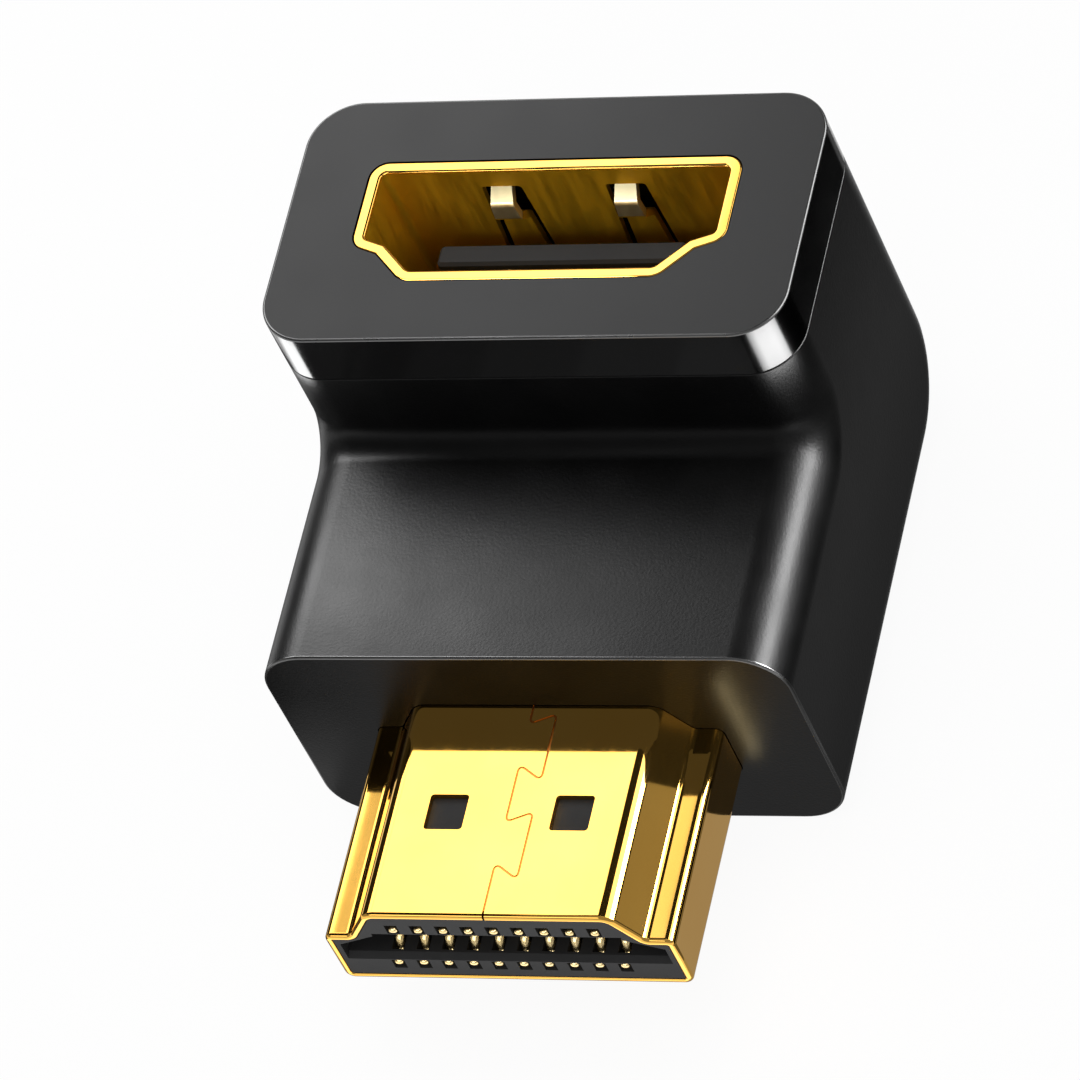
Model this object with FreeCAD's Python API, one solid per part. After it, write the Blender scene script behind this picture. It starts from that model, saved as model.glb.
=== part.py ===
import FreeCAD, Part

import math
import os

# A right angle video adapter. Its 19 contact D plug points along -Y and its socket faces +Z.
# Millimetres. X is the width, the underside lies on Z = 0, and X and Y are centred on the whole part.

# Outside of the body
body_width = 21.0
body_length = 21.15
body_height = 17.2
plug_arm_height = 10.7
socket_arm_depth = 11.24
edge_radius = 2.05
heel_radius = 4.5
inner_bend_radius = 1.0
face_edge_break = 0.1

# Cap round the socket, divided from the body by a parting line
cap_height = 2.5
parting_break = 0.06
skirt_height = 1.2
skirt_inset = 1.6
skirt_gap = 0.03

# Plug shell, a folded sheet. Heights are measured from its wide side.
plug_reach = 9.3
plug_embed = 3.2
plug_width = 13.9
plug_height = 4.45
plug_shoulder_height = 2.93
plug_shoulder_width = 11.72
plug_narrow_width = 9.68
plug_sheet = 0.28
plug_wide_radius = 0.4
plug_shoulder_radius = 0.35
plug_hollow_radius = 0.3
plug_narrow_radius = 0.7
plug_nose_bevel = 0.16
plug_leg_length = 3.0
plug_leg_height = 1.6

# Dovetail seam and latch holes of the plug shell. Places are measured back from the plug's face on the body.
seam_gap = 0.07
seam_side = -0.05
seam_tab_depth = 1.01
seam_tab_root = 1.8
seam_front_flare = 0.7
seam_back_flare = 0.44
seam_tab_places = (1.73, 6.06)
seam_bend = 0.16
latch_hole_size = 1.54
latch_hole_spacing = 5.0
latch_hole_place = 4.74
latch_hole_radius = 0.14

# Plug insulator
plug_housing_recess = 0.05
plug_housing_gap = 0.02
plug_housing_embed = 2.3
slot_floor = 1.48
slot_ceiling = 2.9
slot_width = 12.9
slot_side_height = 0.82
slot_ceiling_width = 9.9
slot_depth = 6.3
lead_in_depth = 0.25
lead_in_rise = 0.17

# Contacts of plug and socket: ten on the wide side, nine between them on the narrow side
contact_pitch = 1.0
wide_row_count = 10
narrow_row_count = 9

# Plug contact springs. Offsets are measured away from the slot's floor or ceiling.
spring_width = 0.38
spring_thickness = 0.26
spring_tip_offset = 0.43
spring_beam_offset = 0.5
spring_crown_rise = 0.4
spring_tip_depth = 0.08
spring_rise_depth = 0.5
spring_crown_start = 0.82
spring_crown_end = 1.06
spring_root_depth = 3.4
spring_tail_run = 0.3
spring_foot_length = 1.5
groove_width = 0.5
groove_depth = 0.76
front_wall = 0.4
front_wall_lip = 0.22

# Socket shell. Distances across are measured from the inside of its wide wall.
mating_clearance = 0.09
socket_set_forward = 0.1
socket_shoulder_room = 0.15
socket_shoulder_fall = 0.34
socket_slope_room = 0.26
socket_sheet = 0.3
socket_wide_radius = 0.28
socket_shoulder_radius = 0.2
socket_hollow_radius = 0.3
socket_narrow_radius = 0.35
rim_width = 0.46
rim_depth = 0.25
rim_gap = 0.04
socket_leg_width = 0.8
socket_leg_spacing = 1.7
socket_leg_through = 0.35
leg_slot_gap = 0.05

# Spring fingers of the socket shell and their windows. Depths are measured down from the socket's face.
finger_spacing = 5.0
window_top = 1.0
window_bottom = 7.2
window_top_width = 1.6
window_bottom_width = 2.3
window_radius = 0.15
finger_tip_depth = 1.1
finger_crown_top = 1.61
finger_crown_bottom = 2.24
finger_return_depth = 2.9
finger_crown_reach = 0.57
finger_root_width = 1.58
finger_neck_width = 1.07
finger_head_width = 0.9
finger_tip_width = 0.82
finger_head_radius = 0.15
finger_bend = 0.06
finger_relief = 0.7
finger_relief_margin = 0.1

# Socket insulator and its tongue
socket_housing_gap = 0.02
socket_base_thickness = 2.55
tongue_recess = 2.2
tongue_from_wide_wall = 1.8
tongue_thickness = 0.95
tongue_width = 9.9
tongue_corner_radius = 0.2
tongue_edge_break = 0.12

# Socket contacts, flat strips let into both faces of the tongue
blade_width = 0.4
blade_thickness = 0.15
blade_tip_recess = 0.5
blade_foot_overhang = 0.7

# Circuit board and the inner moulding round it
board_thickness = 0.8
board_width = 16.0
board_tab_length = 3.1
board_set_back = 0.4
board_side_gap = 0.02
board_behind_socket = 1.1
socket_standoff = 0.4
housing_standoff = 0.3
mould_wall = 0.8
mould_under = 1.5
mould_over = 1.5
mould_front_wall = 2.0
mould_below_skirt = 1.05
joint_room = 0.25

# Places worked out from the sizes above
overall_length = plug_reach + body_length
plug_tip_y = -overall_length / 2
plug_face_y = plug_tip_y + plug_reach
back_y = plug_face_y + body_length
arm_front_y = back_y - socket_arm_depth
parting_z = body_height - cap_height
plug_base_z = (plug_arm_height - plug_height) / 2
plug_shell_end = plug_reach + plug_embed
plug_housing_end = plug_reach + plug_housing_embed

board_middle_z = plug_arm_height / 2
board_top_z = board_middle_z + board_thickness / 2
board_bottom_z = board_middle_z - board_thickness / 2

socket_width = plug_width + 2 * mating_clearance
socket_height = plug_height + 2 * mating_clearance
socket_side_height = plug_shoulder_height + socket_shoulder_room
socket_shoulder_height = socket_side_height + socket_shoulder_fall
socket_shoulder_width = plug_shoulder_width + 2 * socket_slope_room
socket_narrow_width = plug_narrow_width + 2 * mating_clearance
socket_centre_y = back_y - socket_arm_depth / 2 - socket_set_forward
wide_wall_y = socket_centre_y + socket_height / 2
socket_shell_depth = body_height - board_top_z - socket_standoff
socket_housing_depth = body_height - board_top_z - housing_standoff
socket_cavity_depth = socket_housing_depth - socket_base_thickness
board_depth = body_height - board_top_z

# Small corners left where an outline shrinks, reach of cutting shapes past what they cut, and the
# distance within which an edge counts as lying in a plane
least_radius = 0.025
reach_past = 1.0
plane_tolerance = 1e-4


def flat(point):
    """A point of an outline as a vector."""
    return FreeCAD.Vector(point[0], point[1], 0)


def plug_point(x, height, depth=0.0):
    """A point given by its height over the plug's wide side and its depth behind the plug's mouth."""
    return FreeCAD.Vector(x, plug_tip_y + depth, plug_base_z + height)


def socket_point(x, across, depth=0.0):
    """A point given by its distance from the wide wall and its depth below the socket's face."""
    return FreeCAD.Vector(x, wide_wall_y - across, body_height - depth)


def rounded_face(outline, place):
    """Face inside a polygon with its own radius at each corner. place turns (u, v) into a point."""
    points, radii = outline
    corners = []
    for index, radius in enumerate(radii):
        corner = flat(points[index])
        before = flat(points[index - 1]) - corner
        after = flat(points[(index + 1) % len(points)]) - corner
        half_angle = before.getAngle(after) / 2
        before.normalize()
        after.normalize()
        to_centre = (before + after).normalize()
        setback = radius / math.tan(half_angle)
        to_middle = radius / math.sin(half_angle) - radius
        corners.append((corner + before * setback, corner + to_centre * to_middle, corner + after * setback))
    edges = []
    for index, (start, middle, end) in enumerate(corners):
        if radii[index] > 0:
            arc = [place(p.x, p.y) for p in (start, middle, end)]
            edges.append(Part.Arc(*arc).toShape())
        following = corners[(index + 1) % len(corners)][0]
        edges.append(Part.makeLine(place(end.x, end.y), place(following.x, following.y)))
    return Part.Face(Part.Wire(edges))


def grown(outline, distance):
    """The same outline, grown outwards by a distance, or shrunk where that is negative."""
    points, radii = outline
    new_points = []
    new_radii = []
    for index, radius in enumerate(radii):
        corner = flat(points[index])
        incoming = (corner - flat(points[index - 1])).normalize()
        outgoing = (flat(points[(index + 1) % len(points)]) - corner).normalize()
        normal_in = FreeCAD.Vector(incoming.y, -incoming.x, 0)
        normal_out = FreeCAD.Vector(outgoing.y, -outgoing.x, 0)
        shift = (normal_in + normal_out) * (distance / (1 + normal_in.dot(normal_out)))
        convex = incoming.cross(outgoing).z > 0
        new_points.append((corner.x + shift.x, corner.y + shift.y))
        new_radii.append(max(radius + (distance if convex else -distance), least_radius))
    return new_points, new_radii


def mirrored_outline(half, half_radii):
    """Closed outline from its right half, given from the wide side up."""
    points = half + [(-u, v) for u, v in reversed(half)]
    return points, half_radii + half_radii[::-1]


def rectangle(width, low, high, radius):
    """Rectangle centred on u, with one radius at its corners."""
    half = [(width / 2, low), (width / 2, high)]
    return mirrored_outline(half, [radius, radius])


def strip_outline(centre, thickness, bends):
    """Outline of a bent strip from its centre line, with the inner radius of the bend at each point."""
    left = []
    right = []
    for index, point in enumerate(centre):
        first = flat(centre[max(index - 1, 0)])
        last = flat(centre[min(index + 1, len(centre) - 1)])
        here = flat(point)
        incoming = (here - first) if index > 0 else (last - here)
        outgoing = (last - here) if index < len(centre) - 1 else incoming
        incoming = FreeCAD.Vector(incoming).normalize()
        outgoing = FreeCAD.Vector(outgoing).normalize()
        turn = incoming.cross(outgoing).z
        normals = FreeCAD.Vector(-incoming.y - outgoing.y, incoming.x + outgoing.x, 0)
        shift = normals * (thickness / 2 / (1 + incoming.dot(outgoing)))
        bend = bends[index]
        outer = bend + thickness if bend > 0 else 0
        left.append(((here.x + shift.x, here.y + shift.y), bend if turn > 0 else outer))
        right.append(((here.x - shift.x, here.y - shift.y), outer if turn > 0 else bend))
    rim = left + right[::-1]
    return [point for point, radius in rim], [radius for point, radius in rim]


def plug_prism(outline, start, end):
    """Solid with an outline across the plug, between two depths behind its mouth."""
    face = rounded_face(outline, lambda x, height: plug_point(x, height, start))
    return face.extrude(FreeCAD.Vector(0, end - start, 0))


def socket_prism(outline, start, end):
    """Solid with an outline across the socket, between two depths below its face."""
    face = rounded_face(outline, lambda x, across: socket_point(x, across, start))
    return face.extrude(FreeCAD.Vector(0, 0, start - end))


def side_prism(outline, width, x, place):
    """Solid with an outline seen from the side, centred on x."""
    face = rounded_face(outline, lambda u, v: place(x - width / 2, u, v))
    return face.extrude(FreeCAD.Vector(width, 0, 0))


def side_point(x, y, z):
    """A point of a side outline in the part's own frame."""
    return FreeCAD.Vector(x, y, z)


def upright_prism(outline, low, high):
    """Solid with an outline seen from above, between two heights."""
    face = rounded_face(outline, lambda x, y: FreeCAD.Vector(x, y, low))
    return face.extrude(FreeCAD.Vector(0, 0, high - low))


def box(x_range, y_range, z_range):
    """Box between three pairs of limits, given in any order."""
    low = [min(pair) for pair in (x_range, y_range, z_range)]
    high = [max(pair) for pair in (x_range, y_range, z_range)]
    return Part.makeBox(high[0] - low[0], high[1] - low[1], high[2] - low[2], FreeCAD.Vector(*low))


def edges_in_plane(shape, axis, place):
    """Edges of a shape that lie wholly in a plane across one axis."""
    found = []
    for edge in shape.Edges:
        limits = edge.BoundBox
        low = getattr(limits, axis + "Min")
        high = getattr(limits, axis + "Max")
        if max(abs(low - place), abs(high - place)) < plane_tolerance:
            found.append(edge)
    return found


def row_places(count):
    """X places of one row of contacts."""
    return [(index - (count - 1) / 2) * contact_pitch for index in range(count)]


# Outlines shared by the pieces that fit each other
plug_outline = mirrored_outline(
    [
        (plug_width / 2, 0),
        (plug_width / 2, plug_shoulder_height),
        (plug_shoulder_width / 2, plug_shoulder_height),
        (plug_narrow_width / 2, plug_height),
    ],
    [plug_wide_radius, plug_shoulder_radius, plug_hollow_radius, plug_narrow_radius],
)
socket_outline = mirrored_outline(
    [
        (socket_width / 2, 0),
        (socket_width / 2, socket_side_height),
        (socket_shoulder_width / 2, socket_shoulder_height),
        (socket_narrow_width / 2, socket_height),
    ],
    [socket_wide_radius, socket_shoulder_radius, socket_hollow_radius, socket_narrow_radius],
)
slot_outline = mirrored_outline(
    [
        (slot_width / 2, slot_floor),
        (slot_width / 2, slot_floor + slot_side_height),
        (slot_ceiling_width / 2, slot_ceiling),
    ],
    [0] * 3,
)


def body_blank():
    """Outside of both arms up to the parting line, with rounded long edges, heel and inner bend."""
    points = [
        (plug_face_y, 0),
        (back_y, 0),
        (back_y, parting_z),
        (arm_front_y, parting_z),
        (arm_front_y, plug_arm_height),
        (plug_face_y, plug_arm_height),
    ]
    radii = [0, heel_radius, 0, 0, inner_bend_radius, 0]
    blank = side_prism((points, radii), body_width, 0, side_point)
    ends = edges_in_plane(blank, "Y", plug_face_y) + edges_in_plane(blank, "Z", parting_z)
    sides = edges_in_plane(blank, "X", body_width / 2) + edges_in_plane(blank, "X", -body_width / 2)
    long_edges = [edge for edge in sides if not any(edge.isSame(end) for end in ends)]
    blank = blank.makeFillet(edge_radius, long_edges)
    blank = blank.makeChamfer(face_edge_break, edges_in_plane(blank, "Y", plug_face_y))
    return blank.makeChamfer(parting_break, edges_in_plane(blank, "Z", parting_z))


def socket_arm_outline(inset):
    """Outline of the socket's arm seen from above, drawn in by an inset."""
    half_width = body_width / 2
    corners = [
        (half_width, arm_front_y),
        (half_width, back_y),
        (-half_width, back_y),
        (-half_width, arm_front_y),
    ]
    return grown((corners, [edge_radius] * 4), -inset)


def finger_window(x, wall_across, wall_side):
    """Tapered window through one long wall of the socket shell. wall_side is -1 on the wide side."""
    half = [(window_bottom_width / 2, window_bottom), (window_top_width / 2, window_top)]
    outline = mirrored_outline(half, [0, window_radius])
    outside = wall_across + wall_side * reach_past
    inside = wall_across - wall_side * finger_bend
    face = rounded_face(outline, lambda u, depth: socket_point(x + u, inside, depth))
    return face.extrude(FreeCAD.Vector(0, inside - outside, 0))


def spring_finger(x, wall_across, wall_side):
    """Spring finger in the plane of its wall, with a crown that reaches into the socket."""
    middle = wall_across + wall_side * socket_sheet / 2
    crown = middle - wall_side * finger_crown_reach
    centre = [
        (middle, window_bottom + socket_sheet),
        (middle, finger_return_depth),
        (crown, finger_crown_bottom),
        (crown, finger_crown_top),
        (middle, finger_tip_depth),
    ]
    outline = strip_outline(centre, socket_sheet, [0, finger_bend, finger_bend, finger_bend, 0])
    strip = side_prism(outline, finger_root_width, x, socket_point)
    half = [
        (finger_root_width / 2, window_bottom + reach_past),
        (finger_neck_width / 2, finger_crown_bottom),
        (finger_head_width / 2, finger_crown_bottom - finger_bend),
        (finger_tip_width / 2, finger_tip_depth - finger_bend),
    ]
    taper_outline = mirrored_outline(half, [0, 0, 0, finger_head_radius])
    start = -reach_past if wall_side < 0 else socket_height + reach_past
    span = wall_side * (socket_height / 2 + reach_past)
    face = rounded_face(taper_outline, lambda u, depth: socket_point(x + u, start, depth))
    return strip.common(face.extrude(FreeCAD.Vector(0, span, 0)))


def finger_places():
    """X place, inner face of the wall and wall side of each spring finger."""
    for x in (-finger_spacing / 2, finger_spacing / 2):
        yield x, 0, -1
        yield x, socket_height, 1


def finger_reliefs():
    """Pockets behind the fingers' windows, which give the fingers room."""
    pockets = []
    for x, wall_across, wall_side in finger_places():
        half = window_bottom_width / 2 + finger_relief_margin
        outer_face = wall_across + wall_side * socket_sheet
        near = wide_wall_y - outer_face
        far = near - wall_side * finger_relief
        limits = (body_height - window_top, body_height - window_bottom)
        pockets.append(box((x - half, x + half), (near, far), limits))
    return pockets


def socket_shell():
    """Folded shell of the socket: tube, flat rim, spring fingers and four legs through the board."""
    outside = grown(socket_outline, socket_sheet)
    tube = socket_prism(outside, 0, socket_shell_depth)
    rim = socket_prism(grown(socket_outline, rim_width), 0, rim_depth)
    bore = socket_prism(socket_outline, -reach_past, socket_shell_depth + reach_past)
    shell = tube.fuse(rim).cut(bore).removeSplitter()
    windows = [finger_window(*place) for place in finger_places()]
    fingers = [spring_finger(*place) for place in finger_places()]
    return shell.cut(windows).fuse(fingers + socket_legs()).removeSplitter()


def socket_legs(gap=0.0):
    """Legs of the socket shell, two in each side wall, or with a gap the slots they pass through."""
    leg_end = board_depth + board_thickness + socket_leg_through
    z_limits = (body_height - socket_shell_depth + socket_sheet, body_height - leg_end)
    half = socket_leg_width / 2 + gap
    legs = []
    for side in (-1, 1):
        inner = side * (socket_width / 2 - gap)
        outer = side * (socket_width / 2 + socket_sheet + gap)
        for step in (-1, 1):
            middle = wide_wall_y - socket_side_height / 2 + step * socket_leg_spacing / 2
            legs.append(box((inner, outer), (middle - half, middle + half), z_limits))
    return legs


def tongue_faces():
    """Distance across of the tongue's two faces, and which way each one faces."""
    return ((tongue_from_wide_wall, -1), (tongue_from_wide_wall + tongue_thickness, 1))


def socket_contact(x, face_across, face_side):
    """Flat contact let into one face of the tongue, with a foot on the board outside the shell."""
    middle = face_across - face_side * blade_thickness / 2
    wall_across = 0 if face_side < 0 else socket_height
    foot_end = wall_across + face_side * (socket_sheet + blade_foot_overhang)
    foot_depth = board_depth - blade_thickness / 2
    centre = [
        (middle, tongue_recess + blade_tip_recess),
        (middle, foot_depth),
        (foot_end, foot_depth),
    ]
    outline = strip_outline(centre, blade_thickness, [0, 0, 0])
    return side_prism(outline, blade_width, x, socket_point)


def socket_housing(contacts):
    """Insulator of the socket: a base that fills the shell and the tongue, moulded round the contacts."""
    base_outline = grown(socket_outline, -socket_housing_gap)
    base = socket_prism(base_outline, socket_cavity_depth, socket_housing_depth)
    low = tongue_from_wide_wall
    high = tongue_from_wide_wall + tongue_thickness
    tongue_outline = rectangle(tongue_width, low, high, tongue_corner_radius)
    tongue = socket_prism(tongue_outline, tongue_recess, socket_cavity_depth + reach_past)
    tongue = tongue.makeChamfer(tongue_edge_break, edges_in_plane(tongue, "Z", body_height - tongue_recess))
    return base.fuse(tongue).removeSplitter().cut(contacts)


def slot_walls():
    """Height of the slot's floor and ceiling, and which way lies away from the slot."""
    return ((slot_floor, -1), (slot_ceiling, 1))


def plug_contact(x, wall, side):
    """Contact spring: tip in its notch, crown in the slot, beam through the housing, foot on the board."""
    board_face = board_bottom_z if side < 0 else board_top_z
    foot_height = board_face + side * spring_thickness / 2 - plug_base_z
    beam_height = wall + side * spring_beam_offset
    crown_height = wall - side * (spring_crown_rise - spring_thickness / 2)
    tail_depth = plug_housing_end + spring_tail_run
    board_front = plug_shell_end + board_set_back
    centre = [
        (spring_tip_depth, wall + side * spring_tip_offset),
        (spring_rise_depth, wall + side * spring_tip_offset),
        (spring_crown_start, crown_height),
        (spring_crown_end, crown_height),
        (spring_root_depth, beam_height),
        (tail_depth, beam_height),
        (board_front - spring_thickness, foot_height),
        (board_front + spring_foot_length, foot_height),
    ]
    outline = strip_outline(centre, spring_thickness, [0] * len(centre))
    return side_prism(outline, spring_width, x, lambda u, depth, height: plug_point(u, height, depth))


def plug_box(x, width, height_range, depth_range):
    """Box given by its place across the plug, its heights and its depths behind the mouth."""
    heights = [plug_base_z + height for height in height_range]
    depths = [plug_tip_y + depth for depth in depth_range]
    return box((x - width / 2, x + width / 2), depths, heights)


def contact_groove(x, wall, side):
    """Notch through the housing's front wall and groove behind it, where one spring moves."""
    deep = wall + side * groove_depth
    notch = plug_box(x, groove_width, (wall + side * front_wall_lip, deep), (0, front_wall))
    groove = plug_box(x, groove_width, (wall - side * front_wall_lip, deep), (front_wall, slot_depth))
    return notch.fuse(groove)


def slot_lead_in(wall, side, width):
    """Wedge that bevels one edge of the slot's mouth."""
    start = plug_housing_recess
    corners = [(start, wall), (start, wall + side * lead_in_rise), (start + lead_in_depth, wall)]
    return side_prism((corners, [0, 0, 0]), width, 0, lambda u, depth, height: plug_point(u, height, depth))


def plug_housing(contacts):
    """Insulator of the plug: slot with bevelled mouth, a notch and groove for each spring."""
    outline = grown(plug_outline, -(plug_sheet + plug_housing_gap))
    housing = plug_prism(outline, plug_housing_recess, plug_housing_end)
    slot = plug_prism(slot_outline, 0, slot_depth)
    wedges = [slot_lead_in(slot_floor, -1, slot_width)]
    wedges.append(slot_lead_in(slot_ceiling, 1, slot_ceiling_width))
    grooves = [contact_groove(*place) for place in plug_contact_places()]
    return housing.cut([slot] + wedges + grooves).cut(contacts)


def plug_contact_places():
    """Contact places in pin order: odd pins on the wide side, even pins on the narrow side."""
    return in_pin_order(slot_walls())


def socket_contact_places():
    """Tongue contacts in the same pin order."""
    return in_pin_order(tongue_faces())


def in_pin_order(rows):
    """Places of both rows, taken in turn from the wide row and the narrow row."""
    wide = [(x, *rows[0]) for x in row_places(wide_row_count)]
    narrow = [(x, *rows[1]) for x in row_places(narrow_row_count)]
    return sorted(wide + narrow, key=lambda place: place[0])


def seam_outline():
    """Fine gap along the dovetail seam, as an outline of x and depth behind the plug's mouth."""
    tip = seam_side + seam_tab_depth
    path = [(seam_side, plug_shell_end + reach_past)]
    for place in seam_tab_places:
        back = plug_reach - place + seam_tab_root / 2
        front = back - seam_tab_root
        path.append((seam_side, back))
        path.append((tip, back + seam_back_flare))
        path.append((tip, front - seam_front_flare))
        path.append((seam_side, front))
    path.append((seam_side, -reach_past))
    bends = [0] + [seam_bend] * (len(path) - 2) + [0]
    return strip_outline(path, seam_gap, bends)


def plug_shell():
    """Folded shell of the plug: bevelled nose, dovetail seam, latch holes and two legs beside the board."""
    inside = grown(plug_outline, -plug_sheet)
    shell = plug_prism(plug_outline, 0, plug_shell_end)
    shell = shell.makeChamfer(plug_nose_bevel, edges_in_plane(shell, "Y", plug_tip_y))
    shell = shell.cut(plug_prism(inside, -reach_past, plug_shell_end + reach_past))
    through = plug_height + reach_past
    middle = plug_reach - latch_hole_place
    holes = []
    for x in (-latch_hole_spacing / 2, latch_hole_spacing / 2):
        half = [
            (latch_hole_size / 2, middle - latch_hole_size / 2),
            (latch_hole_size / 2, middle + latch_hole_size / 2),
        ]
        outline = mirrored_outline(half, [latch_hole_radius] * 2)
        face = rounded_face(outline, lambda u, depth: plug_point(x + u, -reach_past, depth))
        holes.append(face.extrude(FreeCAD.Vector(0, 0, through + reach_past)))
    seam_face = rounded_face(seam_outline(), lambda u, depth: plug_point(u, plug_height / 2, depth))
    seam = seam_face.extrude(FreeCAD.Vector(0, 0, through))
    return shell.cut(holes + [seam]).fuse(plug_legs()).removeSplitter()


def plug_legs():
    """Two legs that carry the shell's side walls on beside the board."""
    heights = (plug_arm_height / 2 - plug_base_z - plug_leg_height / 2,)
    heights += (heights[0] + plug_leg_height,)
    depths = (plug_shell_end - plug_sheet, plug_shell_end + plug_leg_length)
    middle = (plug_width - plug_sheet) / 2
    return [plug_box(side * middle, plug_sheet, heights, depths) for side in (-1, 1)]


def circuit_board():
    """Board between the connectors: a narrow tab between the plug's legs, slots for the socket's legs."""
    front_y = plug_tip_y + plug_shell_end + board_set_back
    shoulder_y = front_y + board_tab_length
    board_back_y = wide_wall_y + socket_sheet + board_behind_socket
    tab_half = plug_width / 2 - plug_sheet - board_side_gap
    half = board_width / 2
    points = [
        (-tab_half, front_y),
        (tab_half, front_y),
        (tab_half, shoulder_y),
        (half, shoulder_y),
        (half, board_back_y),
        (-half, board_back_y),
        (-half, shoulder_y),
        (-tab_half, shoulder_y),
    ]
    board = upright_prism((points, [0] * len(points)), board_bottom_z, board_top_z)
    return board.cut(socket_legs(leg_slot_gap))


def board_block():
    """Envelope of the inner moulding round the board."""
    half = board_width / 2 + mould_wall
    front_y = plug_face_y + mould_front_wall
    back = wide_wall_y + socket_sheet + board_behind_socket + mould_wall
    corners = [(half, front_y), (half, back), (-half, back), (-half, front_y)]
    outline = (corners, [0] * 4)
    return upright_prism(outline, board_bottom_z - mould_under, board_top_z + mould_over)


def socket_block():
    """Envelope of the inner moulding round the foot of the socket."""
    half = socket_width / 2 + socket_sheet + mould_wall
    front_y = wide_wall_y - socket_height - socket_sheet - mould_wall
    back = wide_wall_y + socket_sheet + mould_wall
    corners = [(half, front_y), (half, back), (-half, back), (-half, front_y)]
    outline = (corners, [0] * 4)
    return upright_prism(outline, board_middle_z, parting_z - skirt_height - mould_below_skirt)


def joint_pockets():
    """Room in the inner moulding round the soldered feet of both connectors."""
    feet_width = (wide_row_count - 1) * contact_pitch + max(spring_width, blade_width) + 2 * joint_room
    x_limits = (-feet_width / 2, feet_width / 2)
    springs = spring_thickness + joint_room
    spring_feet_end = plug_tip_y + plug_shell_end + board_set_back + spring_foot_length + joint_room
    y_limits = (plug_tip_y + plug_shell_end, spring_feet_end)
    pockets = [box(x_limits, y_limits, (board_bottom_z - springs, board_top_z + springs))]
    blade_limits = (board_top_z, board_top_z + blade_thickness + joint_room)
    overhang = socket_sheet + blade_foot_overhang + joint_room
    for wall_across, wall_side in ((0, -1), (socket_height, 1)):
        near = wide_wall_y - wall_across
        pockets.append(box(x_limits, (near, near - wall_side * overhang), blade_limits))
    return pockets


def build():
    """All pieces by node name."""
    plug_contacts = [plug_contact(*place) for place in plug_contact_places()]
    socket_contacts = [socket_contact(*place) for place in socket_contact_places()]
    board = circuit_board()
    plug = plug_shell()
    socket = socket_shell()

    plug_core = plug_prism(plug_outline, 0, plug_shell_end)
    socket_core = socket_prism(grown(socket_outline, socket_sheet), -reach_past, board_depth)
    envelope = board_block().fuse(socket_block()).removeSplitter()
    reliefs = finger_reliefs()
    inner_mould = envelope.cut([plug_core, socket_core, plug, socket, board] + joint_pockets() + reliefs)

    cap_outline = socket_arm_outline(0)
    cap = upright_prism(cap_outline, parting_z, body_height)
    cap = cap.makeChamfer(face_edge_break, edges_in_plane(cap, "Z", body_height))
    cap = cap.makeChamfer(parting_break, edges_in_plane(cap, "Z", parting_z))
    cap = cap.fuse(upright_prism(socket_arm_outline(skirt_inset), parting_z - skirt_height, parting_z))
    opening = socket_prism(grown(socket_outline, socket_sheet + rim_gap), -reach_past, body_height)
    rim_seat = socket_prism(grown(socket_outline, rim_width + rim_gap), -reach_past, rim_depth)
    cap = cap.cut([opening, rim_seat] + reliefs).removeSplitter()

    skirt_room = socket_arm_outline(skirt_inset - skirt_gap)
    skirt_seat = upright_prism(skirt_room, parting_z - skirt_height - skirt_gap, body_height)
    body = body_blank().cut([envelope, plug_core, socket_core, skirt_seat] + reliefs)

    pieces = {
        "body_overmould": body,
        "socket_cap": cap,
        "inner_mould": inner_mould,
        "circuit_board": board,
        "plug_shell": plug,
        "plug_housing": plug_housing(plug_contacts),
        "socket_shell": socket,
        "socket_housing": socket_housing(socket_contacts),
    }
    for index, contact in enumerate(plug_contacts, start=1):
        pieces["plug_contact_%02d" % index] = contact
    for index, contact in enumerate(socket_contacts, start=1):
        pieces["socket_contact_%02d" % index] = contact
    return pieces


def main():
    """Write one STEP file per piece."""
    os.makedirs("parts", exist_ok=True)
    for name, shape in build().items():
        shape.exportStep("parts/" + name + ".step")
        print(name, len(shape.Solids), round(shape.Volume, 3), shape.isValid())


main()
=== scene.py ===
"""Looks of a right angle video adapter with a 19 contact D plug and a socket at right angles to it."""

import logging
import math
from collections.abc import Callable
from collections.abc import Iterable
from dataclasses import dataclass
from enum import Enum

import bmesh
import bpy
from bmesh.types import BMEdge
from bmesh.types import BMesh
from bmesh.types import BMFace
from bmesh.types import BMVert
from bpy.types import Material
from bpy.types import Node
from bpy.types import NodeSocket
from bpy.types import World
from mathutils import Matrix
from mathutils import Vector


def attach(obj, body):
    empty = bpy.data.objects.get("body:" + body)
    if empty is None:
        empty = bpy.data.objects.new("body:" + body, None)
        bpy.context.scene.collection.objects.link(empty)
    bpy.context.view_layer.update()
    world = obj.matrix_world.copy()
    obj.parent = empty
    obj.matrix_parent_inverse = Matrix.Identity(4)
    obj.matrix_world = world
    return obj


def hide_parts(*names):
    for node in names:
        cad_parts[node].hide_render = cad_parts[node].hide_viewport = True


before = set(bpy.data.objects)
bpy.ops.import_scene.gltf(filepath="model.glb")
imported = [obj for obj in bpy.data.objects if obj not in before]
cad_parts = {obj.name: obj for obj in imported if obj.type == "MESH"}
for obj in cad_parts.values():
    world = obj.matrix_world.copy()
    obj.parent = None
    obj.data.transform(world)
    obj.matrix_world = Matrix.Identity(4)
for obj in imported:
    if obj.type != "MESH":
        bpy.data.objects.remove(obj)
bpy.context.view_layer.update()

log = logging.getLogger("adapter")

MM = 0.001
BODY = "root"
NEAR = 1e-4
SHARP_ANGLE = math.radians(32)
FLAT_ANGLE = math.radians(0.2)
RIM_ANGLE = 1.0
SQUARE_ON = 0.999
FULL_WEIGHT = 100

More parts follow.
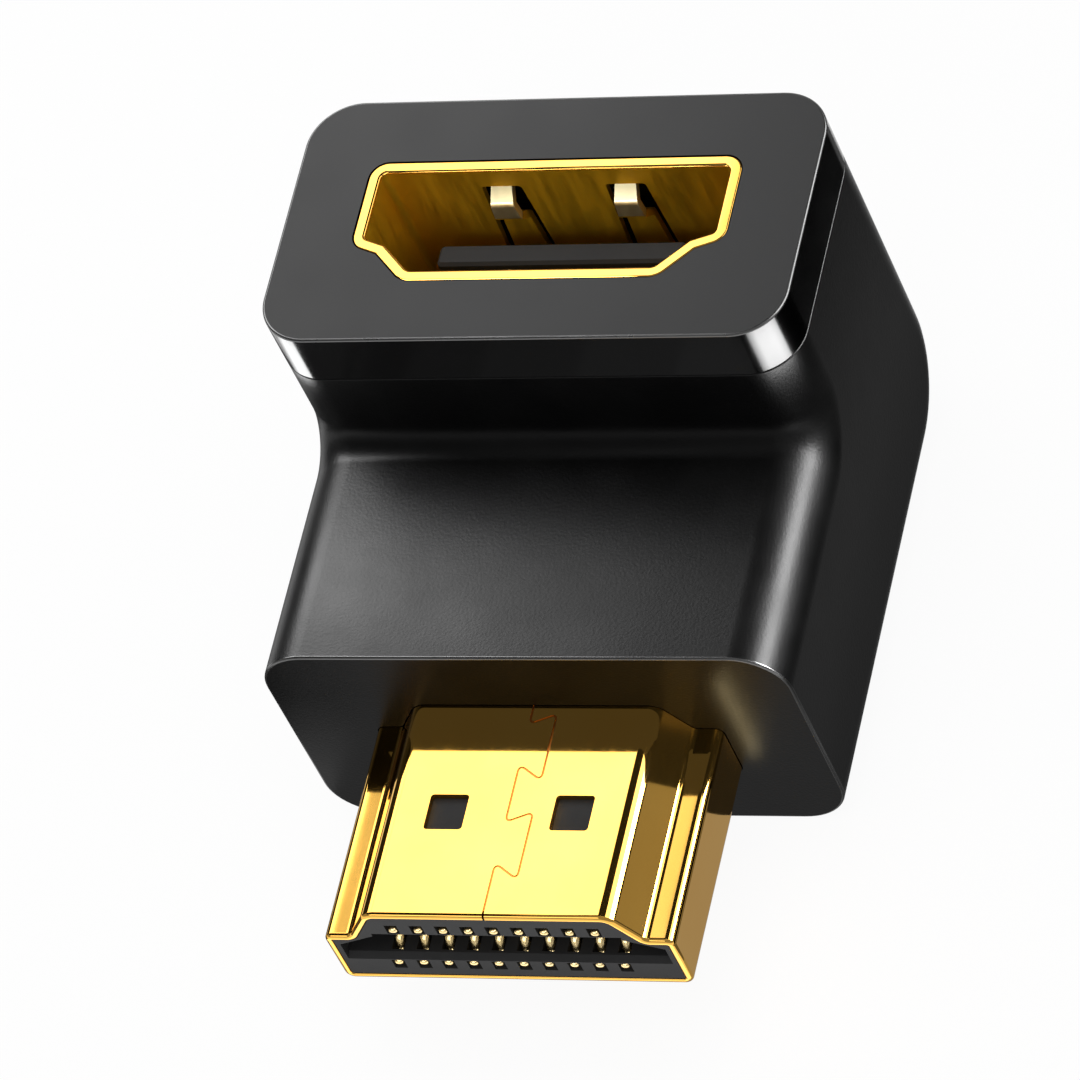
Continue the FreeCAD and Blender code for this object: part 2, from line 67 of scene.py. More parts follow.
Point = tuple[float, float]
Place = tuple[float, float, float]
Outline = list[Place]
Colour = tuple[float, float, float]
Placer = Callable[[float, float], Vector]
Inputs = dict[str | int, object]


class Slot(Enum):
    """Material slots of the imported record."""

    BODY = "body_plastic"
    CAP = "cap_plastic"
    SHELL = "gold_shell"
    INSULATOR = "insulator"
    CONTACT = "gold_contact"


class Axis(Enum):
    """Axes of the part's frame."""

    X = 0
    Y = 1
    Z = 2


@dataclass(frozen=True)
class Sizes:
    """Main sizes in millimetres, as in the CAD part's frame."""

    body_width: float = 21.0
    body_height: float = 17.2
    plug_arm_height: float = 10.7
    plug_tip_y: float = -15.225
    plug_face_y: float = -5.925
    arm_front_y: float = 3.985
    back_y: float = 15.225
    edge_radius: float = 2.05
    heel_radius: float = 4.5
    inner_bend_radius: float = 1.0
    board_top: float = 5.75
    cap_height: float = 2.5
    plug_base_z: float = 3.125
    plug_height: float = 4.45
    plug_sheet: float = 0.28
    socket_wall_y: float = 11.82
    socket_sheet: float = 0.3

    @property
    def parting_z(self) -> float:
        """Height of the line between the body and the cap."""
        return self.body_height - self.cap_height


SIZES = Sizes()

# Right halves of the two D outlines: distances from the middle and from the wide side, corner radius
PLUG_HALF: Outline = [(6.95, 0.0, 0.4), (6.95, 2.93, 0.35), (5.86, 2.93, 0.3), (4.84, 4.45, 0.7)]
SOCKET_HALF: Outline = [(7.04, 0.0, 0.28), (7.04, 3.08, 0.2), (6.12, 3.42, 0.3), (4.93, 4.63, 0.35)]


def whole(half: Outline) -> Outline:
    """Closed outline from its right half."""
    return half + [(-u, v, radius) for u, v, radius in reversed(half)]


def grown(outline: Outline, distance: float) -> Outline:
    """An outline moved outwards, or inwards where the distance is negative.

    Args:
        outline: Corners with their radii, anticlockwise.
        distance: How far each side moves, in millimetres.

    Returns:
        The new corners with radii that keep each wall's thickness even.
    """
    moved = []
    count = len(outline)
    for index, (u, v, radius) in enumerate(outline):
        here = Vector((u, v))
        before = (here - Vector(outline[index - 1][:2])).normalized()
        after = (Vector(outline[(index + 1) % count][:2]) - here).normalized()
        out_before = Vector((before.y, -before.x))
        out_after = Vector((after.y, -after.x))
        shift = (out_before + out_after) * (distance / (1 + out_before.dot(out_after)))
        turn = 1 if before.cross(after) > 0 else -1
        moved.append((u + shift.x, v + shift.y, max(radius + turn * distance, 0.02)))
    return moved


def plug_place(u: float, v: float, depth: float = 0.0) -> Vector:
    """Point across the plug, at a depth behind its mouth."""
    return Vector((u, SIZES.plug_tip_y + depth, SIZES.plug_base_z + v))


def socket_place(u: float, v: float, depth: float = 0.0) -> Vector:
    """Point across the socket, at a depth below its face."""
    return Vector((u, SIZES.socket_wall_y - v, SIZES.body_height - depth))


def lies_at(item: BMEdge | BMFace, axis: Axis, place: float) -> bool:
    """Whether an edge or a face lies wholly in one plane across an axis."""
    return all(abs(vertex.co[axis.value] - place) < NEAR for vertex in item.verts)


def edges_at(bm: BMesh, axis: Axis, place: float) -> list[BMEdge]:
    """Edges that lie wholly in one plane across an axis."""
    return [edge for edge in bm.edges if lies_at(edge, axis, place)]


def face_at(bm: BMesh, axis: Axis, place: float) -> BMFace:
    """Largest face that lies wholly in one plane across an axis."""
    found = [face for face in bm.faces if lies_at(face, axis, place)]
    return max(found, key=lambda face: face.calc_area())


def turned_edges(edges: Iterable[BMEdge], angle: float = RIM_ANGLE) -> list[BMEdge]:
    """Edges at which the surface turns by more than an angle, in radians."""
    return [edge for edge in edges if edge.calc_face_angle(0) > angle]


def crease(edges: Iterable[BMEdge]) -> None:
    """Makes the shading break at some edges."""
    for edge in edges:
        edge.smooth = False


def face_outwards(bm: BMesh) -> None:
    """Turns all faces of a mesh outwards."""
    bmesh.ops.recalc_face_normals(bm, faces=bm.faces)


def drop_face(bm: BMesh, face: BMFace) -> None:
    """Deletes a face and keeps its edges."""
    bmesh.ops.delete(bm, geom=[face], context="FACES_ONLY")


def move_new(bm: BMesh, items: list[BMVert | BMEdge | BMFace], travel: Vector) -> None:
    """Moves the vertices among some new items along a vector."""
    bmesh.ops.translate(bm, vec=travel, verts=[item for item in items if isinstance(item, BMVert)])


def round_edges(bm: BMesh, edges: Iterable[BMEdge], radius: float, segments: int) -> None:
    """Rounds edges with the bevel operator."""
    bmesh.ops.bevel(
        bm,
        geom=list(edges),
        offset=radius,
        offset_type="OFFSET",
        segments=segments,
        profile=0.5,
        affect="EDGES",
        material=-1,
        clamp_overlap=False,
        loop_slide=True,
    )


def round_corner(bm: BMesh, corner: BMVert, outline: Outline, index: int, segments: int) -> None:
    """Rounds one corner of an outline or a path by its radius, with the bevel operator."""
    here = Vector(outline[index][:2])
    before = Vector(outline[index - 1][:2]) - here
    after = Vector(outline[(index + 1) % len(outline)][:2]) - here
    bmesh.ops.bevel(
        bm,
        geom=[corner],
        offset=outline[index][2] / math.tan(before.angle(after) / 2),
        offset_type="OFFSET",
        segments=segments,
        profile=0.5,
        affect="VERTICES",
        material=-1,
        clamp_overlap=False,
    )


def outline_face(bm: BMesh, outline: Outline, place: Placer, segments: int = 8) -> BMFace:
    """Flat face inside an outline, with its corners rounded.

    Args:
        bm: Mesh that gets the face.
        outline: Corners with their radii.
        place: Turns a point of the outline into a point of the part.
        segments: Steps of each rounded corner.

    Returns:
        The face.
    """
    corners = [bm.verts.new(place(u, v)) for u, v, _ in outline]
    bm.faces.new(corners)
    bm.normal_update()
    for index, (_, _, radius) in enumerate(outline):
        if radius > 0:
            round_corner(bm, corners[index], outline, index, segments)
    return max(bm.faces, key=lambda item: item.calc_area())


def raise_face(bm: BMesh, face: BMFace, travel: Vector) -> BMFace:
    """Extrudes a face along a vector and returns the moved face."""
    made = bmesh.ops.extrude_face_region(bm, geom=[face])["geom"]
    move_new(bm, made, travel)
    return next(item for item in made if isinstance(item, BMFace))


def prism(outline: Outline, place: Placer, travel: Vector) -> BMesh:
    """Closed solid between an outline and the same outline moved along a vector."""
    bm = bmesh.new()
    raise_face(bm, outline_face(bm, outline, place), travel)
    face_outwards(bm)
    return bm


def fill_ring(bm: BMesh, edges: list[BMEdge], facing: Vector) -> None:
    """Fills the flat ring between two loops of edges."""
    bmesh.ops.triangle_fill(bm, use_beauty=True, use_dissolve=False, edges=edges, normal=facing)


def sink_well(bm: BMesh, lid: BMFace, outline: Outline, place: Placer, travel: Vector) -> BMFace:
    """Opens a flat face with a well that has walls and a floor.

    Args:
        bm: Mesh to open.
        lid: Flat face that the well opens in.
        outline: Outline of the well.
        place: Turns a point of the outline into a point of the lid's plane.
        travel: Vector from the opening to the well's floor.

    Returns:
        The well's floor.
    """
    rim = list(lid.edges)
    facing = lid.normal.copy()
    drop_face(bm, lid)
    part = bmesh.new()
    outline_face(part, outline, place)
    known = set(bm.faces)
    merge_in(bm, part)
    opening = next(face for face in bm.faces if face not in known)
    if opening.normal.dot(facing) < 0:
        bmesh.ops.reverse_faces(bm, faces=[opening])
    loop = list(opening.edges)
    fill_ring(bm, rim + loop, facing)
    crease(rim + loop)
    floor = raise_face(bm, opening, travel)
    drop_face(bm, opening)
    face_outwards(bm)
    return floor


def bore_through(
    bm: BMesh, near: BMFace, far: BMFace, outline: Outline, place: Placer, travel: Vector
) -> None:
    """Bores a hole of a given outline from one flat face to another.

    Args:
        bm: Mesh to bore.
        near: Face that the hole starts in.
        far: Face that it comes out of.
        outline: Outline of the hole.
        place: Turns a point of the outline into a point of the near face.
        travel: Vector from the near face to the far face.
    """
    far_rim = list(far.edges)
    drop_face(bm, far)
    floor = sink_well(bm, near, outline, place, travel)
    far_loop = list(floor.edges)
    drop_face(bm, floor)
    fill_ring(bm, far_rim + far_loop, travel.normalized())
    face_outwards(bm)


def rounded_wire(path: Outline, place: Placer, segments: int = 5) -> BMesh:
    """Open wire through the corners of a path, each bent by its own radius."""
    bm = bmesh.new()
    corners = [bm.verts.new(place(u, v)) for u, v, _ in path]
    for first, second in zip(corners, corners[1:]):
        bm.edges.new((first, second))
    for index in range(1, len(path) - 1):
        round_corner(bm, corners[index], path, index, segments)
    return bm


def solid_sheet(wire: BMesh, travel: Vector, thickness: float) -> BMesh:
    """Sheet of even thickness swept from a wire along a vector, with the wire in its middle."""
    move_new(wire, bmesh.ops.extrude_edge_only(wire, edges=wire.edges)["geom"], travel)
    face_outwards(wire)
    wire.normal_update()
    for vertex in wire.verts:
        vertex.co += vertex.normal * (thickness / 2) * vertex.calc_shell_factor()
    bmesh.ops.solidify(wire, geom=wire.faces, thickness=thickness)
    face_outwards(wire)
    return wire


def merge_in(bm: BMesh, part: BMesh) -> None:
    """Adds one mesh to another. The part is freed."""
    mesh = bpy.data.meshes.new("part")
    part.to_mesh(mesh)
    part.free()
    bm.from_mesh(mesh)
    bpy.data.meshes.remove(mesh)


def add_block(bm: BMesh, middle: Vector, size: Place) -> None:
    """Adds a box to a mesh."""
    bmesh.ops.create_cube(bm, size=1, matrix=Matrix.Translation(middle) @ Matrix.Diagonal((*size, 1)))


def node_copy(node: str) -> BMesh:
    """Welded copy of a CAD node's mesh in millimetres, with its flat areas made whole."""
    bm = bmesh.new()
    bm.from_mesh(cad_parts[node].data)
    bmesh.ops.scale(bm, vec=Vector((1 / MM,) * 3), verts=bm.verts)
    bmesh.ops.remove_doubles(bm, verts=bm.verts, dist=NEAR)
    bmesh.ops.dissolve_limit(bm, angle_limit=FLAT_ANGLE, verts=bm.verts, edges=bm.edges)
    return bm


def new_object(name: str, bm: BMesh) -> bpy.types.Object:
    """Object of the scene with a mesh of its own. The bmesh is freed."""
    mesh = bpy.data.meshes.new(name)
    bm.to_mesh(mesh)
    bm.free()
    made = bpy.data.objects.new(name, mesh)
    bpy.context.scene.collection.objects.link(made)
    return made


def finish_piece(
    name: str, bm: BMesh, finishes: list[Material], nodes: Iterable[str] = ()
) -> None:
    """Turns a finished bmesh into a piece that rides on the body.

    Args:
        name: Name of the piece.
        bm: Mesh in millimetres. It is freed.
        finishes: Materials, by material index.
        nodes: CAD nodes that the piece stands for.
    """
    bmesh.ops.scale(bm, vec=Vector((MM,) * 3), verts=bm.verts)
    for face in bm.faces:
        face.smooth = True
    crease(turned_edges(bm.edges, SHARP_ANGLE))
    piece = new_object(name, bm)
    for finish in finishes:
        piece.data.materials.append(finish)
    weights = piece.modifiers.new("even_shading", "WEIGHTED_NORMAL")
    weights.keep_sharp = True
    weights.weight = FULL_WEIGHT
    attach(piece, BODY)
    if nodes:
        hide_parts(*nodes)
    log.info("%s: %d faces", name, len(piece.data.polygons))


def carved(solid: BMesh, cutters: list[BMesh]) -> BMesh:
    """A solid with closed cutters taken out of it. All of the meshes given are freed."""
    objects = [new_object("carving_%d" % index, part) for index, part in enumerate([solid, *cutters])]
    for cutter in objects[1:]:
        cut = objects[0].modifiers.new(cutter.name, "BOOLEAN")
        cut.operation = "DIFFERENCE"
        cut.solver = "EXACT"
        cut.object = cutter
    result = bmesh.new()
    result.from_object(objects[0], bpy.context.evaluated_depsgraph_get())
    for item in objects:
        mesh = item.data
        bpy.data.objects.remove(item)
        bpy.data.meshes.remove(mesh)
    return result


# Between which values the middle of a noise lies, for its range of values and for its two shades
NOISE_MIDDLE: Point = (0.3, 0.7)
SHADE_STOPS: Point = (0.32, 0.68)
CLOUD_DETAIL = 4.0
GRAIN_DETAIL = 3.0


class Sketch:
    """Adds shader nodes to one material or to the world."""

    def __init__(self, holder: Material | World) -> None:
        """Starts without any node."""
        holder.use_nodes = True
        self.tree = holder.node_tree
        self.tree.nodes.clear()

    def add(self, kind: str, inputs: Inputs | None = None, operation: str = "") -> Node:
        """Adds a node.

        Args:
            kind: Its type, without the word ShaderNode before it.
            inputs: Values of its inputs, or the sockets that they are joined to.
            operation: What a math node works out.

        Returns:
            The node.
        """
        node = self.tree.nodes.new("ShaderNode" + kind)
        if operation:
            node.operation = operation
        for key, value in (inputs or {}).items():
            if isinstance(value, NodeSocket):
                self.tree.links.new(value, node.inputs[key])
            else:
                node.inputs[key].default_value = value
        return node

    def maths(self, operation: str, first: NodeSocket, second: object) -> NodeSocket:
        """Result of a math node."""
        return self.add("Math", {0: first, 1: second}, operation).outputs[0]

    def mixed(self, share: NodeSocket, first: Node, second: Node) -> Node:
        """Mix of two shaders, the second by a share."""
        return self.add("MixShader", {"Fac": share, 1: first.outputs[0], 2: second.outputs[0]})

    def noise(self, size_mm: float, detail: float, stretch: Place = (1, 1, 1)) -> Node:
        """Noise over the part's own coordinates.

        Args:
            size_mm: Size of its grains in millimetres.
            detail: Octaves of finer noise.
            stretch: Scale along each axis, below one where the grain runs along it.

        Returns:
            The noise node.
        """
        place = self.add("TexCoord").outputs["Object"]
        mapping = self.add("Mapping", {"Scale": stretch, "Vector": place}).outputs["Vector"]
        return self.add("TexNoise", {"Scale": 1 / (size_mm * MM), "Detail": detail, "Vector": mapping})

    def spread(self, noise: Node, low: float, high: float) -> NodeSocket:
        """Spreads the middle of a noise over a range of values."""
        names = ("From Min", "From Max", "To Min", "To Max")
        ends = dict(zip(names, (*NOISE_MIDDLE, low, high)))
        return self.add("MapRange", {**ends, "Value": noise.outputs["Fac"]}).outputs["Result"]

    def blend(self, noise: Node, first: Colour, second: Colour) -> NodeSocket:
        """Colours that wander between two shades with a noise."""
        ramp = self.add("ValToRGB", {"Fac": noise.outputs["Fac"]})
        for element, position, colour in zip(ramp.color_ramp.elements, SHADE_STOPS, (first, second)):
            element.position = position
            element.color = (*colour, 1)
        return ramp.outputs["Color"]

    def bump(self, noise: Node, height_mm: float) -> NodeSocket:
        """Bump of a real height from a noise."""
        inputs = {"Strength": 1, "Distance": height_mm * MM, "Height": noise.outputs["Fac"]}
        return self.add("Bump", inputs).outputs["Normal"]


@dataclass(frozen=True, kw_only=True)
class Finish:
    """What the finishes share: two shades and a roughness that wander, and a fine grain."""

    name: str
    colour: Colour
    shade: Colour
    roughness: float
    roughness_swing: float = 0.05
    grain_mm: float
    grain_height_mm: float
    grain_stretch: Place = (1.0, 1.0, 1.0)
    cloud_mm: float

    def shaded(self, inputs: Inputs, rough_by_grain: bool) -> Material:
        """Builds the shader.

        Args:
            inputs: Further inputs of the shader.
            rough_by_grain: Whether the roughness follows the grain, not the cloud of the shades.

        Returns:
            The material.
        """
        material = bpy.data.materials.new(self.name)
        sketch = Sketch(material)
        cloud = sketch.noise(self.cloud_mm, CLOUD_DETAIL)
        grain = sketch.noise(self.grain_mm, GRAIN_DETAIL, self.grain_stretch)
        low = self.roughness - self.roughness_swing
        high = self.roughness + self.roughness_swing
        varied = {
            "Base Color": sketch.blend(cloud, self.shade, self.colour),
            "Roughness": sketch.spread(grain if rough_by_grain else cloud, low, high),
            "Normal": sketch.bump(grain, self.grain_height_mm),
        }
        shader = sketch.add("BsdfPrincipled", {**inputs, **varied})
        sketch.add("OutputMaterial", {"Surface": shader.outputs["BSDF"]})
        return material


@dataclass(frozen=True, kw_only=True)
class MouldedPlastic(Finish):
    """Moulded plastic with a fine spark eroded grain."""

    specular: float = 0.5
    refraction: float = 1.5
    cloud_mm: float = 3.0

    def material(self) -> Material:
        """Makes the material."""
        return self.shaded({"Specular IOR Level": self.specular, "IOR": self.refraction}, False)


@dataclass(frozen=True, kw_only=True)
class GoldPlate(Finish):
    """Gold plate over rolled or stamped sheet, with a grain that runs along the plug."""

    grain_mm: float = 0.35
    grain_height_mm: float = 0.0006
    grain_stretch: Place = (1.0, 0.12, 1.0)
    cloud_mm: float = 4.0

    def material(self) -> Material:
        """Makes the material."""
        return self.shaded({"Metallic": 1}, True)


BODY_FINISH = MouldedPlastic(
    name="body_satin_plastic",
    colour=(0.002, 0.002, 0.0021),
    shade=(0.0015, 0.0015, 0.0016),
    roughness=0.36,
    roughness_swing=0.04,
    grain_mm=0.11,
    grain_height_mm=0.007,
    specular=0.27,
)
CAP_FACE_FINISH = MouldedPlastic(
    name="cap_satin_face",
    colour=(0.01, 0.01, 0.0104),
    shade=(0.008, 0.008, 0.0083),
    roughness=0.46,
    roughness_swing=0.03,
    grain_mm=0.1,
    grain_height_mm=0.002,
    specular=0.38,
)
# Rounded edge bands of the faces: a colour lighter than the body and a high refraction paint a highlight
# line along them.
EDGE_HIGHLIGHT_FINISH = MouldedPlastic(
    name="edge_painted_highlight",
    colour=(0.012, 0.012, 0.012),
    shade=(0.01, 0.01, 0.01),
    roughness=0.27,
    roughness_swing=0.03,
    grain_mm=0.3,
    grain_height_mm=0.0004,
    refraction=2.4,
)
CAP_SIDE_FINISH = MouldedPlastic(
    name="cap_polished_side",
    colour=(0.0012, 0.0012, 0.0013),
    shade=(0.001, 0.001, 0.0011),
    roughness=0.16,
    roughness_swing=0.03,
    grain_mm=0.3,
    grain_height_mm=0.0006,
)
INSULATOR_FINISH = MouldedPlastic(
    name="insulator_plastic",
    colour=(0.035, 0.035, 0.0355),
    shade=(0.03, 0.03, 0.0305),
    roughness=0.38,
    grain_mm=0.08,
    grain_height_mm=0.002,
    specular=0.06,
    cloud_mm=1.2,
)
INNER_FINISH = MouldedPlastic(
    name="inner_moulding_plastic",
    colour=(0.05, 0.05, 0.05),
    shade=(0.04, 0.04, 0.04),
    roughness=0.6,
    roughness_swing=0.06,
    grain_mm=0.15,
    grain_height_mm=0.006,
)
BOARD_FINISH = MouldedPlastic(
    name="board_lacquer",
    colour=(0.02, 0.13, 0.05),
    shade=(0.014, 0.1, 0.035),
    roughness=0.3,
    roughness_swing=0.06,
    grain_mm=0.4,
    grain_height_mm=0.003,
)
SHELL_FINISH = GoldPlate(
    name="shell_gold_plate",
    colour=(1.0, 0.57, 0.115),
    shade=(0.98, 0.54, 0.1),
    roughness=0.06,
    roughness_swing=0.015,
    grain_height_mm=0.00008,
)
# Inside walls of the socket: the rough stamped sheet is real, while the colour, darker and deeper orange
# than the rim, paints the shade and the light bounced between the gold walls in the recess.
SOCKET_WALL_SHADED_FINISH = GoldPlate(
    name="socket_wall_gold_painted_shade",
    colour=(0.78, 0.47, 0.022),
    shade=(0.68, 0.4, 0.018),
    roughness=0.55,
    roughness_swing=0.06,
    grain_mm=0.3,
    grain_height_mm=0.0003,
    grain_stretch=(1.0, 1.0, 0.15),
)
# Heads of the socket's spring fingers: a paler, creamy gold paints a highlight on them.
FINGER_HEAD_HIGHLIGHT_FINISH = GoldPlate(
    name="finger_head_painted_highlight_gold",
    colour=(1.0, 0.9, 0.58),
    shade=(1.0, 0.86, 0.5),
    roughness=0.4,
    grain_height_mm=0.0003,
)
SEAM_FINISH = GoldPlate(
    name="seam_bare_copper",
    colour=(0.75, 0.25, 0.05),
    shade=(0.62, 0.18, 0.03),
    roughness=0.3,
)
CONTACT_FINISH = GoldPlate(
    name="contact_gold_plate",
    colour=(1.0, 0.78, 0.4),
    shade=(0.97, 0.73, 0.34),
    roughness=0.24,
    roughness_swing=0.04,
    grain_mm=0.1,
)


def made(*finishes: Finish) -> list[Material]:
    """Materials of some finishes."""
    return [finish.material() for finish in finishes]


@dataclass
class Overmould:
    """Soft edged body round both arms, up to the parting line."""

    face_break: float = 0.1
    face_break_steps: int = 4
    parting_break: float = 0.07
    parting_break_steps: int = 3
    heel_steps: int = 28
    edge_steps: int = 14
    plug_gap: float = 0.03
    plug_well_depth: float = 4.0
    socket_well_room: float = 1.05

    def outside(self) -> BMesh:
        """Outer form of both arms."""
        outline = [
            (SIZES.plug_face_y, 0.0, 0.0),
            (SIZES.back_y, 0.0, SIZES.heel_radius),
            (SIZES.back_y, SIZES.parting_z, 0.0),
            (SIZES.arm_front_y, SIZES.parting_z, 0.0),
            (SIZES.arm_front_y, SIZES.plug_arm_height, SIZES.inner_bend_radius),
            (SIZES.plug_face_y, SIZES.plug_arm_height, 0.0),
        ]
        half = SIZES.body_width / 2
        bm = bmesh.new()
        face = outline_face(bm, outline, lambda y, z: Vector((-half, y, z)), self.heel_steps)
        raise_face(bm, face, Vector((SIZES.body_width, 0, 0)))
        face_outwards(bm)
        ends = set(edges_at(bm, Axis.Y, SIZES.plug_face_y))
        ends.update(edges_at(bm, Axis.Z, SIZES.parting_z))
        sides = edges_at(bm, Axis.X, half) + edges_at(bm, Axis.X, -half)
        round_edges(bm, [edge for edge in sides if edge not in ends], SIZES.edge_radius, self.edge_steps)
        return bm

    def build(self) -> None:
        """Makes the body, with the wells that the plug and the socket sit in."""
        bm = self.outside()
        face_edges = edges_at(bm, Axis.Y, SIZES.plug_face_y)
        round_edges(bm, face_edges, self.face_break, self.face_break_steps)
        parting_edges = edges_at(bm, Axis.Z, SIZES.parting_z)
        round_edges(bm, parting_edges, self.parting_break, self.parting_break_steps)
        sink_well(
            bm,
            face_at(bm, Axis.Y, SIZES.plug_face_y),
            grown(whole(PLUG_HALF), self.plug_gap),
            lambda u, v: plug_place(u, v, SIZES.plug_face_y - SIZES.plug_tip_y),
            Vector((0, self.plug_well_depth, 0)),
        )
        sink_well(
            bm,
            face_at(bm, Axis.Z, SIZES.parting_z),
            grown(whole(SOCKET_HALF), self.socket_well_room),
            lambda u, v: socket_place(u, v, SIZES.cap_height),
            Vector((0, 0, SIZES.board_top - SIZES.parting_z)),
        )
        # The rounded edge of the front face takes the finish with the painted highlight line.
        for face in bm.faces:
            near = max(vertex.co.y for vertex in face.verts) < SIZES.plug_face_y + self.face_break + NEAR
            if near and face.normal.y > -SQUARE_ON:
                face.material_index = 1
        finish_piece("body", bm, made(BODY_FINISH, EDGE_HIGHLIGHT_FINISH), ["body_overmould"])


@dataclass
class SocketCap:
    """Polished collar round the socket, with a satin face."""

    face_break: float = 0.1
    face_break_steps: int = 4
    parting_break: float = 0.06
    parting_break_steps: int = 2
    corner_steps: int = 20
    opening_room: float = 0.5

    def build(self) -> None:
        """Makes the cap with the opening for the socket."""
        half = SIZES.body_width / 2
        radius = SIZES.edge_radius
        outline = [
            (half, SIZES.arm_front_y, radius),
            (half, SIZES.back_y, radius),
            (-half, SIZES.back_y, radius),
            (-half, SIZES.arm_front_y, radius),
        ]
        bm = bmesh.new()
        face = outline_face(bm, outline, lambda x, y: Vector((x, y, SIZES.parting_z)), self.corner_steps)
        raise_face(bm, face, Vector((0, 0, SIZES.cap_height)))
        face_outwards(bm)
        face_edges = edges_at(bm, Axis.Z, SIZES.body_height)
        round_edges(bm, face_edges, self.face_break, self.face_break_steps)
        parting_edges = edges_at(bm, Axis.Z, SIZES.parting_z)
        round_edges(bm, parting_edges, self.parting_break, self.parting_break_steps)
        bore_through(
            bm,
            face_at(bm, Axis.Z, SIZES.body_height),
            face_at(bm, Axis.Z, SIZES.parting_z),
            grown(whole(SOCKET_HALF), self.opening_room),
            socket_place,
            Vector((0, 0, -SIZES.cap_height)),
        )
        for place in (SIZES.body_height - self.face_break, SIZES.parting_z + self.parting_break):
            crease(edges_at(bm, Axis.Z, place))
        # The face takes the satin finish, and its rounded edge takes the finish with the painted
        # highlight line.
        for face in bm.faces:
            low = min(vertex.co.z for vertex in face.verts)
            if low > SIZES.body_height - NEAR:
                face.material_index = 1
            elif low > SIZES.body_height - self.face_break - NEAR:
                face.material_index = 2
        materials = made(CAP_SIDE_FINISH, CAP_FACE_FINISH, EDGE_HIGHLIGHT_FINISH)
        finish_piece("cap", bm, materials, ["socket_cap"])


@dataclass
class PlugShell:
    """Folded and gold plated shell of the plug."""

    length: float = 12.5
    nose_radius: float = 0.17
    inner_nose_radius: float = 0.07
    nose_steps: int = 5
    hole: float = 1.54
    hole_spacing: float = 5.0
    hole_depth: float = 4.56
    hole_radius: float = 0.14
    seam_root_x: float = -0.05
    seam_tip_x: float = 0.96
    seam_tabs: tuple[Point, ...] = ((2.34, 4.14), (6.67, 8.47))
    seam_front_flare: float = 0.7
    seam_back_flare: float = 0.44
    seam_bend: float = 0.16
    seam_gap: float = 0.085
    seam_edge_drop: float = 0.03
    leg_length: float = 3.0
    leg_height: float = 1.6
    overrun: float = 1.0

    def tube(self) -> BMesh:
        """Sheet folded to the D outline, with a rounded nose."""
        bm = prism(whole(PLUG_HALF), plug_place, Vector((0, self.length, 0)))
        round_edges(bm, edges_at(bm, Axis.Y, SIZES.plug_tip_y), self.nose_radius, self.nose_steps)
        bore_through(
            bm,
            face_at(bm, Axis.Y, SIZES.plug_tip_y),
            face_at(bm, Axis.Y, SIZES.plug_tip_y + self.length),
            grown(whole(PLUG_HALF), -SIZES.plug_sheet),
            plug_place,
            Vector((0, self.length, 0)),
        )
        mouth = turned_edges(edges_at(bm, Axis.Y, SIZES.plug_tip_y))
        round_edges(bm, mouth, self.inner_nose_radius, self.nose_steps)
        return bm

    def seam_path(self) -> Outline:
        """Corners of the dovetail seam: x, depth behind the mouth, bend radius."""
        path = [(self.seam_root_x, -self.overrun, 0.0)]
        for front, back in self.seam_tabs:
            path.append((self.seam_root_x, front, self.seam_bend))
            path.append((self.seam_tip_x, front - self.seam_front_flare, self.seam_bend))
            path.append((self.seam_tip_x, back + self.seam_back_flare, self.seam_bend))
            path.append((self.seam_root_x, back, self.seam_bend))
        path.append((self.seam_root_x, self.length + self.overrun, 0.0))
        return path

    def seam_sheet(self, start: float, drop: float, thickness: float) -> BMesh:
        """Upright sheet along the seam.

        Args:
            start: Shortest depth behind the mouth that the sheet reaches.
            drop: How far its upper edge lies under the shell's surface.
            thickness: Its thickness.

        Returns:
            The closed sheet.
        """
        path = self.seam_path()
        path[0] = (path[0][0], start, 0.0)
        top = SIZES.plug_height - drop
        low = SIZES.plug_height - self.overrun
        wire = rounded_wire(path, lambda x, depth: plug_place(x, low, depth))
        return solid_sheet(wire, Vector((0, 0, top - low)), thickness)

    def latch_holes(self) -> list[BMesh]:
        """Cutters for the square holes in the wide and the narrow side."""
        half = self.hole / 2
        corners = [(half, -half), (half, half), (-half, half), (-half, -half)]
        outline = [(u, self.hole_depth + v, self.hole_radius) for u, v in corners]
        travel = Vector((0, 0, SIZES.plug_height + 2 * self.overrun))
        middles = (-self.hole_spacing / 2, self.hole_spacing / 2)
        return [
            prism(outline, lambda x, depth: plug_place(middle + x, -self.overrun, depth), travel)
            for middle in middles
        ]

    def legs(self, bm: BMesh) -> None:
        """Adds the two legs that carry on beside the board."""
        middle_x = PLUG_HALF[0][0] - SIZES.plug_sheet / 2
        size = (SIZES.plug_sheet, self.leg_length + SIZES.plug_sheet, self.leg_height)
        for side in (-1, 1):
            y = SIZES.plug_tip_y + self.length + (self.leg_length - SIZES.plug_sheet) / 2
            add_block(bm, Vector((side * middle_x, y, SIZES.plug_arm_height / 2)), size)

    def build(self) -> None:
        """Makes the shell, and the bare edge that shows in its seam."""
        seam = self.seam_sheet(-self.overrun, -self.overrun, self.seam_gap)
        bm = carved(self.tube(), [seam, *self.latch_holes()])
        self.legs(bm)
        finish_piece("plug_shell_gold", bm, made(SHELL_FINISH), ["plug_shell"])
        edge = self.seam_sheet(SIZES.plug_sheet, self.seam_edge_drop, self.seam_gap)
        finish_piece("plug_seam_edge", edge, made(SEAM_FINISH))


